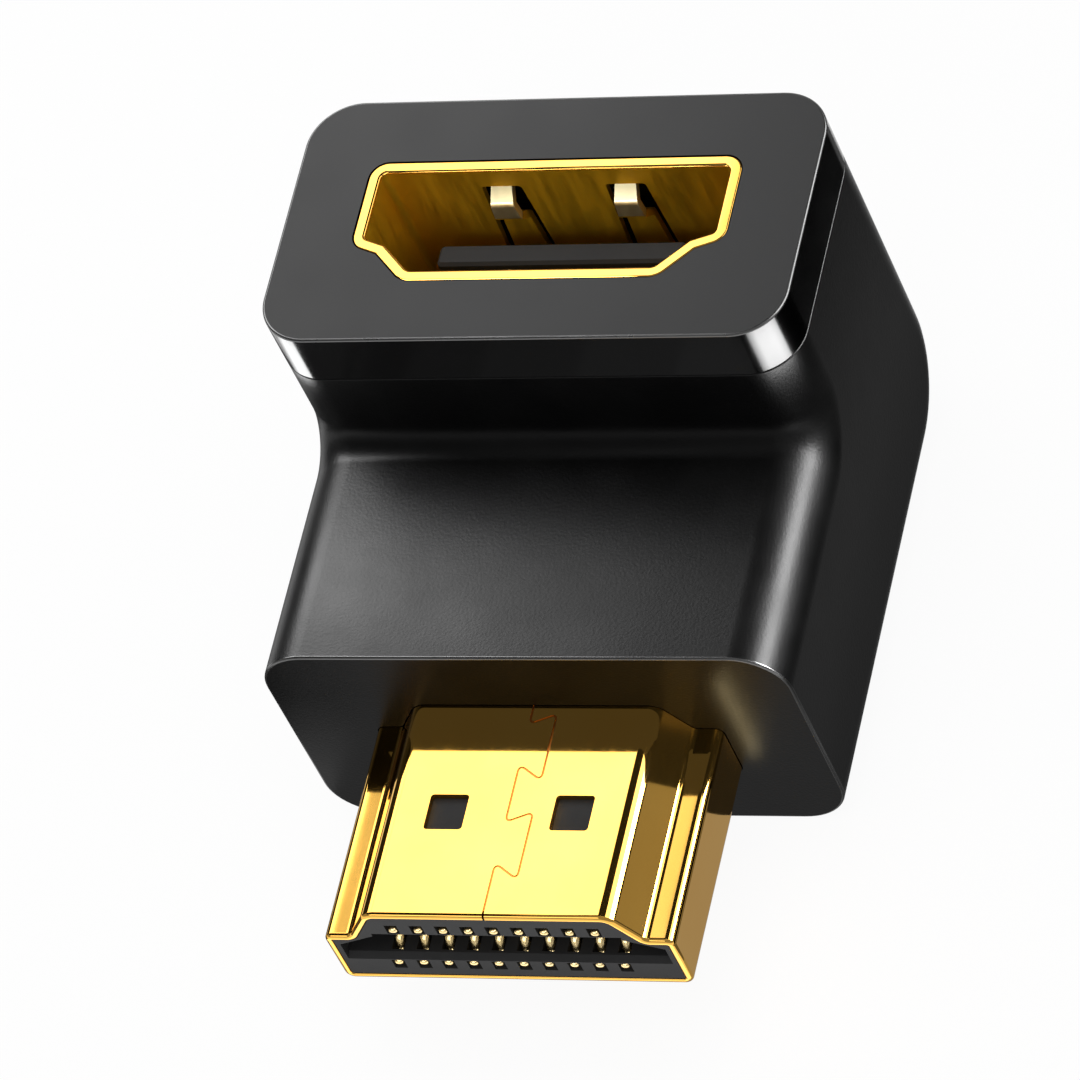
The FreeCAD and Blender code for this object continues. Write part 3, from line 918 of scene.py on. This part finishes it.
@dataclass
class SocketShell:
    """Folded shell of the socket, with its flat rim and four spring fingers."""

    depth: float = 11.05
    rim_width: float = 0.46
    rim_depth: float = 0.25
    rim_edge: float = 0.06
    rim_edge_steps: int = 3
    mouth_radius: float = 0.1
    mouth_steps: int = 4
    finger_spacing: float = 5.0
    window_top: float = 1.0
    window_bottom: float = 7.2
    window_top_width: float = 1.6
    window_bottom_width: float = 2.3
    window_radius: float = 0.15
    window_cut: float = 0.9
    finger_reach: float = 0.57
    finger_return: float = 2.9
    crown_top: float = 1.55
    crown_bottom: float = 2.3
    tip_depth: float = 1.1
    tip_reach: float = 0.3
    root_width: float = 1.58
    neck_width: float = 1.07
    tip_width: float = 0.86
    tip_steps: int = 4
    tip_angle: float = 0.8
    finger_bend: float = 0.16
    head_highlight_range: Point = (0.05, 1.0)
    leg_width: float = 0.8
    leg_spacing: float = 1.7
    leg_end: float = 12.6

    def tube(self) -> BMesh:
        """Folded tube with the flat rim round its mouth."""
        outline = whole(SOCKET_HALF)
        down = Vector((0, 0, -1))
        bm = prism(grown(outline, self.rim_width), socket_place, down * self.rim_depth)
        round_edges(bm, edges_at(bm, Axis.Z, SIZES.body_height), self.rim_edge, self.rim_edge_steps)
        collar_z = SIZES.body_height - self.rim_depth
        sleeve = self.depth - self.rim_depth
        sink_well(
            bm,
            face_at(bm, Axis.Z, collar_z),
            grown(outline, SIZES.socket_sheet),
            lambda u, v: socket_place(u, v, self.rim_depth),
            down * sleeve,
        )
        bore_through(
            bm,
            face_at(bm, Axis.Z, SIZES.body_height),
            face_at(bm, Axis.Z, SIZES.body_height - self.depth),
            outline,
            socket_place,
            down * self.depth,
        )
        mouth = turned_edges(edges_at(bm, Axis.Z, SIZES.body_height))
        round_edges(bm, mouth, self.mouth_radius, self.mouth_steps)
        return bm

    def walls(self) -> list[tuple[float, float, int]]:
        """X place, inner face and side of each finger: side is -1 in the wide wall."""
        height = SOCKET_HALF[-1][1]
        places = []
        for x in (-self.finger_spacing / 2, self.finger_spacing / 2):
            places.append((x, 0.0, -1))
            places.append((x, height, 1))
        return places

    def window(self, x: float, inner: float, side: int) -> BMesh:
        """Cutter for one tapered window."""
        top = self.window_top_width / 2
        bottom = self.window_bottom_width / 2
        outline = [
            (bottom, self.window_bottom, 0.0),
            (top, self.window_top, self.window_radius),
            (-top, self.window_top, self.window_radius),
            (-bottom, self.window_bottom, 0.0),
        ]
        start = inner - side * SIZES.socket_sheet
        travel = Vector((0, -side * self.window_cut, 0))
        return prism(outline, lambda u, depth: socket_place(x + u, start, depth), travel)

    def finger_half_width(self, depth: float) -> float:
        """Half of a finger's width at a depth below the socket's face."""
        if depth < self.crown_bottom:
            share = (depth - self.tip_depth) / (self.crown_bottom - self.tip_depth)
            return (self.tip_width + share * (self.neck_width - self.tip_width)) / 2
        share = (depth - self.crown_bottom) / (self.window_bottom - self.crown_bottom)
        return (self.neck_width + share * (self.root_width - self.neck_width)) / 2

    def finger(self, x: float, inner: float, side: int) -> BMesh:
        """One spring finger, narrower towards its tip, with a crown that reaches into the socket."""
        middle = inner + side * SIZES.socket_sheet / 2
        crown = middle - side * self.finger_reach
        path = [
            (middle, self.window_bottom + SIZES.socket_sheet, 0.0),
            (middle, self.finger_return, 2 * self.finger_bend),
            (crown, self.crown_bottom, self.finger_bend),
            (crown, self.crown_top, self.finger_bend),
            (middle, self.tip_depth, 0.0),
        ]
        wire = rounded_wire(path, lambda v, depth: socket_place(-self.root_width / 2, v, depth))
        bm = solid_sheet(wire, Vector((self.root_width, 0, 0)), SIZES.socket_sheet)
        for vertex in bm.verts:
            half = self.finger_half_width(SIZES.body_height - vertex.co.z)
            vertex.co.x = x + math.copysign(half, vertex.co.x)
        low = SIZES.body_height - self.tip_depth - self.tip_reach
        tip = [
            edge
            for edge in turned_edges(bm.edges, self.tip_angle)
            if all(vertex.co.z > low for vertex in edge.verts)
            and abs(edge.verts[0].co.x - edge.verts[1].co.x) < NEAR
        ]
        round_edges(bm, tip, self.finger_bend, self.tip_steps)
        return bm

    def build(self) -> None:
        """Makes the shell and dresses its rim, its inside with painted shade and its fingers' heads with
        a painted highlight.
        """
        bm = carved(self.tube(), [self.window(*place) for place in self.walls()])
        for place in self.walls():
            merge_in(bm, self.finger(*place))
        for side in (-1, 1):
            for step in (-1, 1):
                self.leg(bm, side, step)
        # Below the rounded mouth the walls take the finish with the painted shade, and the fingers'
        # heads take the paler painted highlight.
        for face in bm.faces:
            if max(vertex.co.z for vertex in face.verts) < SIZES.body_height - self.mouth_radius + NEAR:
                face.material_index = 1
            if self.on_crown(face):
                face.material_index = 2
        materials = made(SHELL_FINISH, SOCKET_WALL_SHADED_FINISH, FINGER_HEAD_HIGHLIGHT_FINISH)
        finish_piece("socket_shell_gold", bm, materials, ["socket_shell"])

    def on_crown(self, face: BMFace) -> bool:
        """Whether a face is on the head of a finger, off the plane of its wall, where a paler colour
        paints a highlight.
        """
        middle = face.calc_center_median()
        depth = SIZES.body_height - middle.z
        across = SIZES.socket_wall_y - middle.y
        near_wall = min(across, SOCKET_HALF[-1][1] - across)
        on_finger = abs(abs(middle.x) - self.finger_spacing / 2) < self.neck_width / 2
        nearest, farthest = self.head_highlight_range
        return on_finger and depth < self.crown_bottom and nearest < near_wall < farthest

    def leg(self, bm: BMesh, side: int, step: int) -> None:
        """Adds one leg that passes through the board."""
        sheet = SIZES.socket_sheet
        across = SOCKET_HALF[1][1] / 2 - step * self.leg_spacing / 2
        top = self.depth - sheet
        middle = socket_place(side * (SOCKET_HALF[0][0] + sheet / 2), across, (top + self.leg_end) / 2)
        add_block(bm, middle, (sheet, self.leg_width, self.leg_end - top))


@dataclass
class Contacts:
    """Gold plated springs of the plug and flat contacts of the socket's tongue, in pin order."""

    pitch: float = 1.0
    wide_count: int = 10
    narrow_count: int = 9
    round_steps: int = 3
    spring_width: float = 0.38
    spring_thickness: float = 0.3
    spring_round: float = 0.14
    spring_tip: float = 0.385
    spring_crown: float = 0.16
    spring_beam: float = 0.5
    spring_foot: float = 0.53
    spring_depths: tuple[float, ...] = (0.0, 0.64, 0.94, 1.3, 3.4, 11.9, 12.68, 14.4)
    spring_bends: tuple[float, ...] = (0.0, 0.3, 0.3, 0.3, 1.0, 0.2, 0.2, 0.0)
    blade_width: float = 0.4
    blade_thickness: float = 0.15
    blade_round: float = 0.03
    blade_top: float = 2.7
    blade_bend: float = 0.15
    blade_foot: float = 0.7
    slot_walls: Point = (1.48, 2.9)
    tongue_faces: Point = (1.8, 2.75)

    def places(self, first: float, second: float) -> list[tuple[float, float, int]]:
        """X place, wall and side of every contact, taken in turn from both rows."""
        rows = []
        for count, wall, side in ((self.wide_count, first, -1), (self.narrow_count, second, 1)):
            for index in range(count):
                rows.append(((index - (count - 1) / 2) * self.pitch, wall, side))
        return sorted(rows, key=lambda row: row[0])

    def spring_path(self, wall: float, side: int) -> Outline:
        """Depth and height of a spring from its tip to its foot, with bend radii."""
        tip = wall + side * self.spring_tip
        crown = wall - side * self.spring_crown
        beam = wall + side * self.spring_beam
        foot = SIZES.plug_arm_height / 2 - SIZES.plug_base_z + side * self.spring_foot
        heights = (tip, tip, crown, crown, beam, beam, foot, foot)
        return list(zip(self.spring_depths, heights, self.spring_bends))

    def blade_path(self, wall: float, side: int) -> Outline:
        """Depth and distance across of a tongue contact, with bend radii."""
        middle = wall - side * self.blade_thickness / 2
        outside = 0.0 if side < 0 else SOCKET_HALF[-1][1]
        foot_end = outside + side * (SIZES.socket_sheet + self.blade_foot)
        low = SIZES.body_height - SIZES.board_top - self.blade_thickness / 2
        return [(self.blade_top, middle, 0.0), (low, middle, self.blade_bend), (low, foot_end, 0.0)]

    def build(self) -> None:
        """Makes every contact of both connectors, as strips with rounded edges."""
        materials = made(CONTACT_FINISH)
        spring = (self.spring_width, self.spring_thickness, self.spring_round)
        blade = (self.blade_width, self.blade_thickness, self.blade_round)
        kinds = (
            ("plug_contact_%02d", self.slot_walls, self.spring_path, plug_place, spring),
            ("socket_contact_%02d", self.tongue_faces, self.blade_path, socket_place, blade),
        )
        for name, walls, path, place, (width, thickness, radius) in kinds:
            for number, (x, wall, side) in enumerate(self.places(*walls), start=1):
                node = name % number
                left = x - width / 2
                wire = rounded_wire(path(wall, side), lambda depth, v: place(left, v, depth))
                bm = solid_sheet(wire, Vector((width, 0, 0)), thickness)
                round_edges(bm, turned_edges(bm.edges), radius, self.round_steps)
                finish_piece(node + "_gold", bm, materials, [node])


@dataclass
class SmallParts:
    """Insulators, and what lies inside the body."""

    def build(self) -> None:
        """Dresses welded copies of the insulators, and the hidden nodes."""
        insulator = made(INSULATOR_FINISH)
        for node in ("plug_housing", "socket_housing"):
            finish_piece(node + "_moulding", node_copy(node), insulator, [node])
        for node, finish in (("inner_mould", INNER_FINISH), ("circuit_board", BOARD_FINISH)):
            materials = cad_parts[node].data.materials
            materials.clear()
            materials.append(finish.material())


# Pieces that some lamps are made for
BODY_PIECE = ("body",)
CAP_PIECE = ("cap",)
PLUG_PIECE = ("plug_shell_gold",)
SOCKET_PIECE = ("socket_shell_gold",)
SPRING_COUNT = 19
SPRING_PIECES = tuple("plug_contact_%02d_gold" % number for number in range(1, SPRING_COUNT + 1))

# The camera of the photograph, fitted to points of the plug, the socket and the body, in metres
CAMERA_PLACE: Place = (0.110746, -0.160432, 0.242013)
CAMERA_RIGHT: Place = (0.93044934, 0.20550004, -0.30337067)
CAMERA_DOWN: Place = (-0.00315708, -0.82340347, -0.56744758)
CAMERA_FORWARD: Place = (-0.36640696, 0.52893899, -0.76548644)


def mirrored(place: Vector, normal: Vector) -> Vector:
    """Direction that the camera sees in a surface at a place, given in millimetres."""
    forward = (place - Vector(CAMERA_PLACE) / MM).normalized()
    return forward - 2 * forward.dot(normal) * normal


def facing_at(angle: float) -> tuple[float, float]:
    """Cosine and sine of an angle in degrees."""
    return math.cos(math.radians(angle)), math.sin(math.radians(angle))


def add_card(name: str, corners: list[Place], light: float, reach: float | None = None) -> None:
    """Adds a grey, black or glowing card that only reflections see.

    Args:
        name: Name of the card.
        corners: Its four corners, in millimetres.
        light: Its brightness, where one is white.
        reach: Where given, reflections from behind the card and from nearer than this many
            millimetres pass through it.
    """
    bm = bmesh.new()
    face = bm.faces.new([bm.verts.new(Vector(corner) * MM) for corner in corners])
    face.normal_update()
    if face.normal.z < 0:
        face.normal_flip()
    card = new_object(name, bm)
    material = bpy.data.materials.new(name + "_paper")
    sketch = Sketch(material)
    surface = sketch.add("Emission", {"Strength": light})
    if reach is not None:
        near = sketch.maths("LESS_THAN", sketch.add("LightPath").outputs["Ray Length"], reach * MM)
        behind = sketch.add("NewGeometry").outputs["Backfacing"]
        hidden = sketch.maths("MAXIMUM", near, behind)
        surface = sketch.mixed(hidden, surface, sketch.add("BsdfTransparent"))
    sketch.add("OutputMaterial", {"Surface": surface.outputs[0]})
    card.data.materials.append(material)
    card.visible_camera = False
    card.visible_diffuse = False
    card.visible_shadow = False
    card.visible_transmission = False


@dataclass(frozen=True)
class Lamp:
    """Rectangular lamp of a given radiance.

    Attributes:
        name: Name of the lamp.
        place: Its middle, in millimetres.
        aim: The point that it faces, in millimetres.
        size: Its width and height, in millimetres.
        radiance: Light per area and angle, where one is white.
        pieces: The only pieces that mirror it. Without them it lights all but is in no reflection.
        along: Direction of its width, where that matters.
        tint: Its colour.
    """

    name: str
    place: Place
    aim: Place
    size: Point
    radiance: float
    pieces: tuple[str, ...] = ()
    along: Place | None = None
    tint: Colour = (1.0, 1.0, 1.0)

    def hang(self) -> None:
        """Adds the lamp to the scene."""
        data = bpy.data.lights.new(self.name, "AREA")
        data.shape = "RECTANGLE"
        data.color = self.tint
        data.size, data.size_y = (side * MM for side in self.size)
        data.energy = self.radiance * math.pi * data.size * data.size_y
        lamp = bpy.data.objects.new(self.name, data)
        lamp.location = Vector(self.place) * MM
        facing = Vector(self.aim) - Vector(self.place)
        lamp.rotation_euler = facing.to_track_quat("-Z", "Y").to_euler()
        if self.along is not None:
            along = Vector(self.along)
            back = -facing.normalized()
            lamp.rotation_euler = Matrix((along, back.cross(along), back)).transposed().to_euler()
        lamp.visible_camera = False
        lamp.visible_glossy = bool(self.pieces)
        bpy.context.scene.collection.objects.link(lamp)
        if self.pieces:
            lamp.visible_diffuse = False
            lit = bpy.data.collections.new(self.name + "_pieces")
            for piece in self.pieces:
                lit.objects.link(bpy.data.objects[piece])
            lamp.light_linking.receiver_collection = lit


@dataclass(frozen=True)
class Band:
    """Card or lamp over the object that the long rounded edges and the panel between them mirror.

    Attributes:
        name: Name of the card or lamp.
        edges: For each long edge of the band, the x place on the arm that mirrors it and the tilt
            to the right that the arm has there, in degrees.
        light: Its brightness, where one is white. The dark ones cover the grey of the surroundings.
        distance: Its distance from the object, in millimetres.
        y_range: How far it reaches to the front and to the back of the mirrored direction.
        pieces: The only pieces that mirror it, which makes it a lamp. Without them it is a card.
    """

    name: str
    edges: tuple[Point, Point]
    light: float = 0.02
    distance: float = 110.0
    y_range: Point = (-65.0, 65.0)
    pieces: tuple[str, ...] = ()

    def hang(self) -> None:
        """Adds the card or the lamp to the scene."""
        lines = []
        for x, tilt in self.edges:
            place = Vector((x, SIZES.plug_face_y / 2, SIZES.plug_arm_height))
            upwards, sideways = facing_at(tilt)
            lines.append(place + mirrored(place, Vector((sideways, 0, upwards))) * self.distance)
        first, second = lines
        near, far = (Vector((0, y, 0)) for y in self.y_range)
        if not self.pieces:
            add_card(self.name, [first + near, second + near, second + far, first + far], self.light)
            return
        middle = (first + second + near + far) / 2
        across = second - first
        across.y = 0
        along = across.normalized()
        facing = along.cross(Vector((0, 1, 0)))
        if facing.z > 0:
            facing.negate()
        size = (across.length, far.y - near.y)
        Lamp(self.name, middle, middle + facing, size, self.light, self.pieces, along).hang()


@dataclass(frozen=True)
class FlatCard:
    """Card that lies level, most often just over the floor, with sizes in millimetres."""

    name: str
    x_range: Point
    y_range: Point
    light: float
    height: float = 0.1

    def hang(self) -> None:
        """Adds the card to the scene."""
        low, high = self.x_range
        near, far = self.y_range
        corners = [(low, near), (high, near), (high, far), (low, far)]
        add_card(self.name, [(*corner, self.height) for corner in corners], self.light)


CARDS = (
    Band("left_gap", ((-10.5, -45), (-9, -16))),
    Band("overhead_glow", ((-9, -16), (6, 0)), 3.0, y_range=(-42, 65)),
    Band("rim_glow", ((6, 0), (11.5, 0)), 3.0, y_range=(3, 30)),
    Band("right_gap", ((6, 0), (9.5, 31)), distance=111.0),
    Band("right_edge", ((9.9, 46), (10.2, 56))),
    Band("front_gap", ((-9, -16), (6, 0)), y_range=(-200, -42.2)),
    FlatCard("plug_card", (-11, 10.3), (-16.8, 1), 0.35),
    FlatCard("low_side_card", (10.3, 13.2), (-22, 45), 0.12),
    FlatCard("high_side_card", (13.2, 16.0), (-22, 45), 0.24),
    FlatCard("far_side_card", (16.0, 250), (-22, 250), 0.0),
    FlatCard("slope_card", (-14, -11), (-9.5, 1), 0.7, 0.12),
    FlatCard("left_card", (-40, -11), (-22, 3), 0.08),
    FlatCard("left_back_card", (-22.5, -10.6), (3, 45), 0.03),
    FlatCard("left_shoulder_card", (-18.5, -17.2), (-1.5, 7.5), 0.78, 29),
    FlatCard("right_shoulder_card", (-4.7, -2.9), (-1.5, 7.5), 1.4, 29),
    FlatCard("nose_card", (-14, 8), (-23, -17.2), 2.0, 0.12),
)
LAMPS = (
    Band("panel_left_lamp", ((-9.1, -14), (-5.5, 0)), 7.0, 24, (-4.6, 2.4), BODY_PIECE),
    Band("panel_lamp", ((-9.1, -14), (-1, 0)), 3.2, 24, (-4, 3), BODY_PIECE),
    Band("panel_wide_lamp", ((-9.1, -14), (5, 0)), 1.2, 24, (-4, 3), BODY_PIECE),
    Band("right_glow_lamp", ((9.6, 35), (10, 49)), 27.0, pieces=BODY_PIECE + PLUG_PIECE),
    Band("cap_front_lamp", ((6, 0), (15, 0)), 3.0, y_range=(-80, 3), pieces=CAP_PIECE),
    Band("cap_edge_lamp", ((9, 20), (10, 50)), 4.0, pieces=CAP_PIECE),
    Band("cap_back_lamp", ((-9, -16), (6, 0)), 1.6, 40, (16, 45), CAP_PIECE),
    Band("socket_lamp", ((9.5, 31), (9.9, 46)), 2.2, pieces=SOCKET_PIECE),
    Band("plug_edge_lamp", ((7.2, 11), (9.6, 35)), 3.0, 108.0, pieces=PLUG_PIECE),
    Band("nose_lamp", ((-9, -16), (8, 0)), 2.0, 107.0, (-200, -138), PLUG_PIECE),
    Lamp(
        "plug_glow_lamp",
        (7.15, -7, 5.4),
        (7.15, 0, 5.4),
        (0.45, 5.0),
        5.0,
        BODY_PIECE,
        along=(1, 0, 0),
        tint=(1.0, 0.8, 0.42),
    ),
    Lamp("contact_lamp", (40, -62, 95), (0, -15, 5), (40, 40), 4.5, SPRING_PIECES),
    Lamp("contact_front_lamp", (-20, -75, 45), (0, -15, 5), (50, 50), 2.5, SPRING_PIECES),
    Lamp("finger_lamp", (-3, 4.4, 19.8), (-3, 4.4, 0), (12, 2.4), 11, SOCKET_PIECE),
    Lamp("overhead_lamp", (-40, 60, 120), (0, 0, 10), (90, 130), 1.35),
    Lamp("fill_lamp", (60, 40, 600), (0, 0, 0), (600, 600), 1.5),
    Lamp("front_lamp", (20, -420, 150), (0, 0, 8), (200, 200), 5.0),
)


@dataclass
class Studio:
    """Pale floor, soft lamps, cards that only reflections see, and the camera of the photograph."""

    floor_half_m: float = 6.0
    floor_gap: float = 0.02
    floor_paper: Colour = (0.9, 0.9, 0.9)
    floor_white_share: float = 0.94
    world_light: float = 0.3
    base_card_half: float = 7.0
    base_card_gap: float = 0.08
    base_card_heights: Point = (7.65, 10.6)
    base_card_light: float = 0.06
    fan_margin: float = 0.3
    fan_height: float = 10.9
    fan_reach: float = 4.85
    fan_steps: int = 4
    right_fan: tuple[Point, ...] = ((-69.7, 5), (-66, 10), (-61, 17), (-44, 17), (-35.5, 11))
    left_fan: tuple[Point, ...] = ((-127, 0.5), (-122, 2.2), (-116, 6), (-101.5, 9))
    collar_lamps: tuple[Point, ...] = ((-9.2, 0.045), (-7, 0.02), (-4, 0.02), (0, 0.025), (4, 0.03))
    collar_lamps_right: float = 8.5
    collar_lamps_y: float = 0.9
    collar_lamps_depth: float = 4.4
    collar_lamps_z: float = 10.95
    collar_lamps_gap: float = 0.02
    lens: float = 270.074
    sensor: float = 36.0
    clip: Point = (0.01, 100.0)

    def corner_fan(self, name: str, side: int, profile: tuple[Point, ...]) -> None:
        """Fan of small cards over the arm that one rounded corner of the collar mirrors.

        Args:
            name: Name of the cards.
            side: Minus one for the left corner, one for the right corner.
            profile: Directions that the corner faces, in degrees, with the brightness there.
        """
        facings = []
        lights = []
        for (facing, light), (next_facing, next_light) in zip(profile, profile[1:]):
            for step in range(self.fan_steps):
                facings.append(facing + (next_facing - facing) * step / self.fan_steps)
                lights.append(light + (next_light - light) * (step + 0.5) / self.fan_steps)
        facings.append(profile[-1][0])
        radius = SIZES.edge_radius
        axis = Vector((side * (SIZES.body_width / 2 - radius), SIZES.arm_front_y + radius, 0))
        rows = []
        for facing in facings:
            normal = Vector((*facing_at(facing), 0))
            row = []
            for height in (SIZES.parting_z - self.fan_margin, SIZES.body_height + self.fan_margin):
                place = axis + normal * radius + Vector((0, 0, height))
                ray = mirrored(place, normal)
                row.append(place + ray * ((self.fan_height - height) / ray.z))
            rows.append(row)
        for index, light in enumerate(lights):
            (inner, outer), (next_inner, next_outer) = rows[index : index + 2]
            corners = [inner, next_inner, next_outer, outer]
            add_card("%s_%d" % (name, index), corners, light, self.fan_reach)

    def base_card(self) -> None:
        """Dark upright card by the body's front face, which the root of the plug's top mirrors."""
        half = self.base_card_half
        low, high = self.base_card_heights
        corners = [(-half, low), (half, low), (half, high), (-half, high)]
        y = SIZES.plug_face_y - self.base_card_gap
        add_card("base_card", [(x, y, z) for x, z in corners], self.base_card_light, 0.0)

    def collar_front_lamps(self) -> None:
        """Lamps over the arm whose reflection brightens the collar's front towards the right."""
        for number, (left, light) in enumerate(self.collar_lamps):
            x = (left + self.collar_lamps_right) / 2
            place = (x, self.collar_lamps_y, self.collar_lamps_z + self.collar_lamps_gap * number)
            aim = (x, self.collar_lamps_y, self.collar_lamps_z + 1)
            size = (self.collar_lamps_right - left, self.collar_lamps_depth)
            Lamp("collar_front_lamp_%d" % number, place, aim, size, light, CAP_PIECE).hang()

    def floor(self) -> None:
        """Large pale floor that shows white to the camera and in the metal, but not from below."""
        bm = bmesh.new()
        bmesh.ops.create_grid(bm, x_segments=1, y_segments=1, size=self.floor_half_m)
        floor = new_object("floor", bm)
        material = bpy.data.materials.new("floor_paper")
        sketch = Sketch(material)
        rays = sketch.add("LightPath").outputs
        seen = sketch.maths("MAXIMUM", rays["Is Camera Ray"], rays["Is Glossy Ray"])
        seen = sketch.maths("MAXIMUM", seen, rays["Is Transmission Ray"])
        share = sketch.maths("MULTIPLY", seen, self.floor_white_share)
        paper = sketch.add("BsdfDiffuse", {"Color": (*self.floor_paper, 1)})
        above = sketch.mixed(share, paper, sketch.add("Emission"))
        behind = sketch.add("NewGeometry").outputs["Backfacing"]
        surface = sketch.mixed(behind, above, sketch.add("BsdfTransparent"))
        sketch.add("OutputMaterial", {"Surface": surface.outputs[0]})
        floor.data.materials.append(material)
        floor.location.z = -self.floor_gap * MM

    def world(self) -> None:
        """Plain grey surroundings, white where the camera sees them."""
        world = bpy.data.worlds.new("surroundings")
        sketch = Sketch(world)
        seen = sketch.add("LightPath").outputs["Is Camera Ray"]
        light = sketch.maths("MAXIMUM", seen, self.world_light)
        sky = sketch.add("Background", {"Color": (1, 1, 1, 1), "Strength": light})
        sketch.add("OutputWorld", {"Surface": sky.outputs[0]})
        bpy.context.scene.world = world

    def camera(self) -> None:
        """Camera at the photograph's place and angle."""
        data = bpy.data.cameras.new("camera")
        data.lens = self.lens
        data.sensor_width = self.sensor
        data.clip_start, data.clip_end = self.clip
        camera = bpy.data.objects.new("camera", data)
        axes = (Vector(CAMERA_RIGHT), -Vector(CAMERA_DOWN), -Vector(CAMERA_FORWARD))
        turn = Matrix(axes).transposed().to_4x4()
        camera.matrix_world = Matrix.Translation(Vector(CAMERA_PLACE)) @ turn
        bpy.context.scene.collection.objects.link(camera)
        bpy.context.scene.camera = camera

    def build(self) -> None:
        """Sets the stage."""
        self.floor()
        for card in CARDS:
            card.hang()
        self.base_card()
        self.corner_fan("right_corner", 1, self.right_fan)
        self.corner_fan("left_corner", -1, self.left_fan)
        for lamp in LAMPS:
            lamp.hang()
        self.collar_front_lamps()
        self.world()
        self.camera()
        bpy.context.scene.view_settings.view_transform = "Standard"


def main() -> None:
    """Builds the sub-assemblies in order."""
    logging.basicConfig(level=logging.INFO)
    pieces = [Overmould(), SocketCap(), PlugShell(), SocketShell(), SmallParts(), Contacts()]
    for assembly in [*pieces, Studio()]:
        log.info("building %s", type(assembly).__name__)
        assembly.build()


if __name__ == "__main__":
    main()
